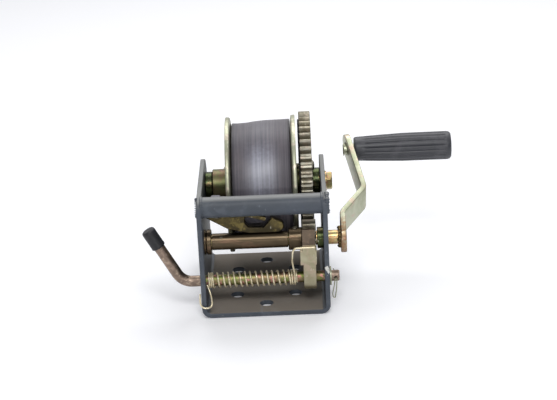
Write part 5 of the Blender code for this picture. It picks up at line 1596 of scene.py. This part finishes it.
# %% [markdown]
# The strip's end is folded into a loop through the hook's eye and sewn back on itself. Where it
# leaves the roll it is gathered to the eye's width.

# %% Strap end
loop_low, loop_high = node_box("strap_loop")
LOOP_THICK = 1.6
half = LOOP_THICK / 2
loop_back = loop_high.y - half
loop_front = loop_low.y + half
loop_top = loop_high.z - half
loop_bottom = loop_low.z + half
loop_line = arc_corners([(loop_front, loop_bottom, 2.2), (loop_back, loop_bottom, 2.2), (loop_back, loop_top, 2.2),
                         (loop_front, loop_top, 2.2)], 8)
loop_width = loop_high.x - loop_low.x
middle_x = (loop_low.x + loop_high.x) / 2
frames = []
lengths = []
length = 0.0
for i, (y, z) in enumerate(loop_line):
    one = Vector(loop_line[i - 1])
    two = Vector(loop_line[(i + 1) % len(loop_line)])
    way = (two - one).normalized()
    normal = Vector((0, way.y, -way.x))

    def place(a, b, y=y, z=z, normal=normal):
        return Vector((middle_x + a, y, z)) + normal * b

    frames.append(place)
    lengths.append(length)
    length += (two - Vector((y, z))).length
LOOP_LENGTH = length
loop = strap_mesh("strap_end_loop", frames, strip_section(loop_width, LOOP_THICK), lengths, closed=True)
finish_piece(loop, "frame", "strap_loop")

SLEEVE_TOP = CRANK.z + 7.0
roll_front = AXLE.y - 56.7
keys = [((-4, roll_front - 0.4, SLEEVE_TOP + 4), 34, (1, 0, 0)),
        ((-10, roll_front - 1.2, SLEEVE_TOP + 12), 26, (0.9, 0, 0.3)),
        ((-21, hook_high.y + 2.4 + 0.6, SLEEVE_TOP + 20), 17, (0.65, 0, 0.75)),
        ((-31, hook_high.y + 3.0, SLEEVE_TOP + 25.5), 11, (0.4, 0, 0.9)),
        ((EYE.x - 3, hook_high.y + 3.0, SLEEVE_TOP + 27.5), 8, (0.2, 0, 1))]
middles = smooth_path([k[0] for k in keys], 8)
widths = smooth_path([(k[1], 0, 0) for k in keys], 8)
sides = smooth_path([k[2] for k in keys], 8)
bm = bmesh.new()
uv_rows = []
tail_rows = []
length = 0.0
for i, (middle, wide, side) in enumerate(zip(middles, widths, sides)):
    side = side.normalized()
    if i:
        length += (middle - middles[i - 1]).length
    fold = 0.35 if wide.x > 10 else 0.15
    tail_rows.append([middle + side * a + Vector((0, b + fold * math.sin(a * 1.1), 0))
                      for a, b in strip_section(wide.x, LOOP_THICK)])
    uv_rows.append((length, [a for a, b in strip_section(wide.x, LOOP_THICK)]))
rows = add_loft(bm, tail_rows)
uv = bm.loops.layers.uv.new("strap")
where = {}
for row, (run_length, offsets) in zip(rows, uv_rows):
    for vert, a in zip(row, offsets):
        where[vert] = (run_length * MM, a * MM + 0.025)
for bm_face in bm.faces:
    for bm_loop in bm_face.loops:
        bm_loop[uv].uv = where[bm_loop.vert]
tail = mesh_object("strap_end_tail", bm, webbing_finish, 55)
finish_piece(tail, "frame", "strap_tail")
print("strap end", round(length, 1), "mm and loop", round(LOOP_LENGTH, 1), "mm")

# %% [markdown]
# ## Sizes
#
# The finished winch should fill the same box as its frame, so the last cell prints both boxes in
# millimetres.

# %% Sizes
finished_box = [list(corner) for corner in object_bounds()]
for label, box in (("frame", CAD_BOX), ("finished", finished_box)):
    print(label, [round((b - a) / MM, 1) for a, b in zip(*box)], "mm")
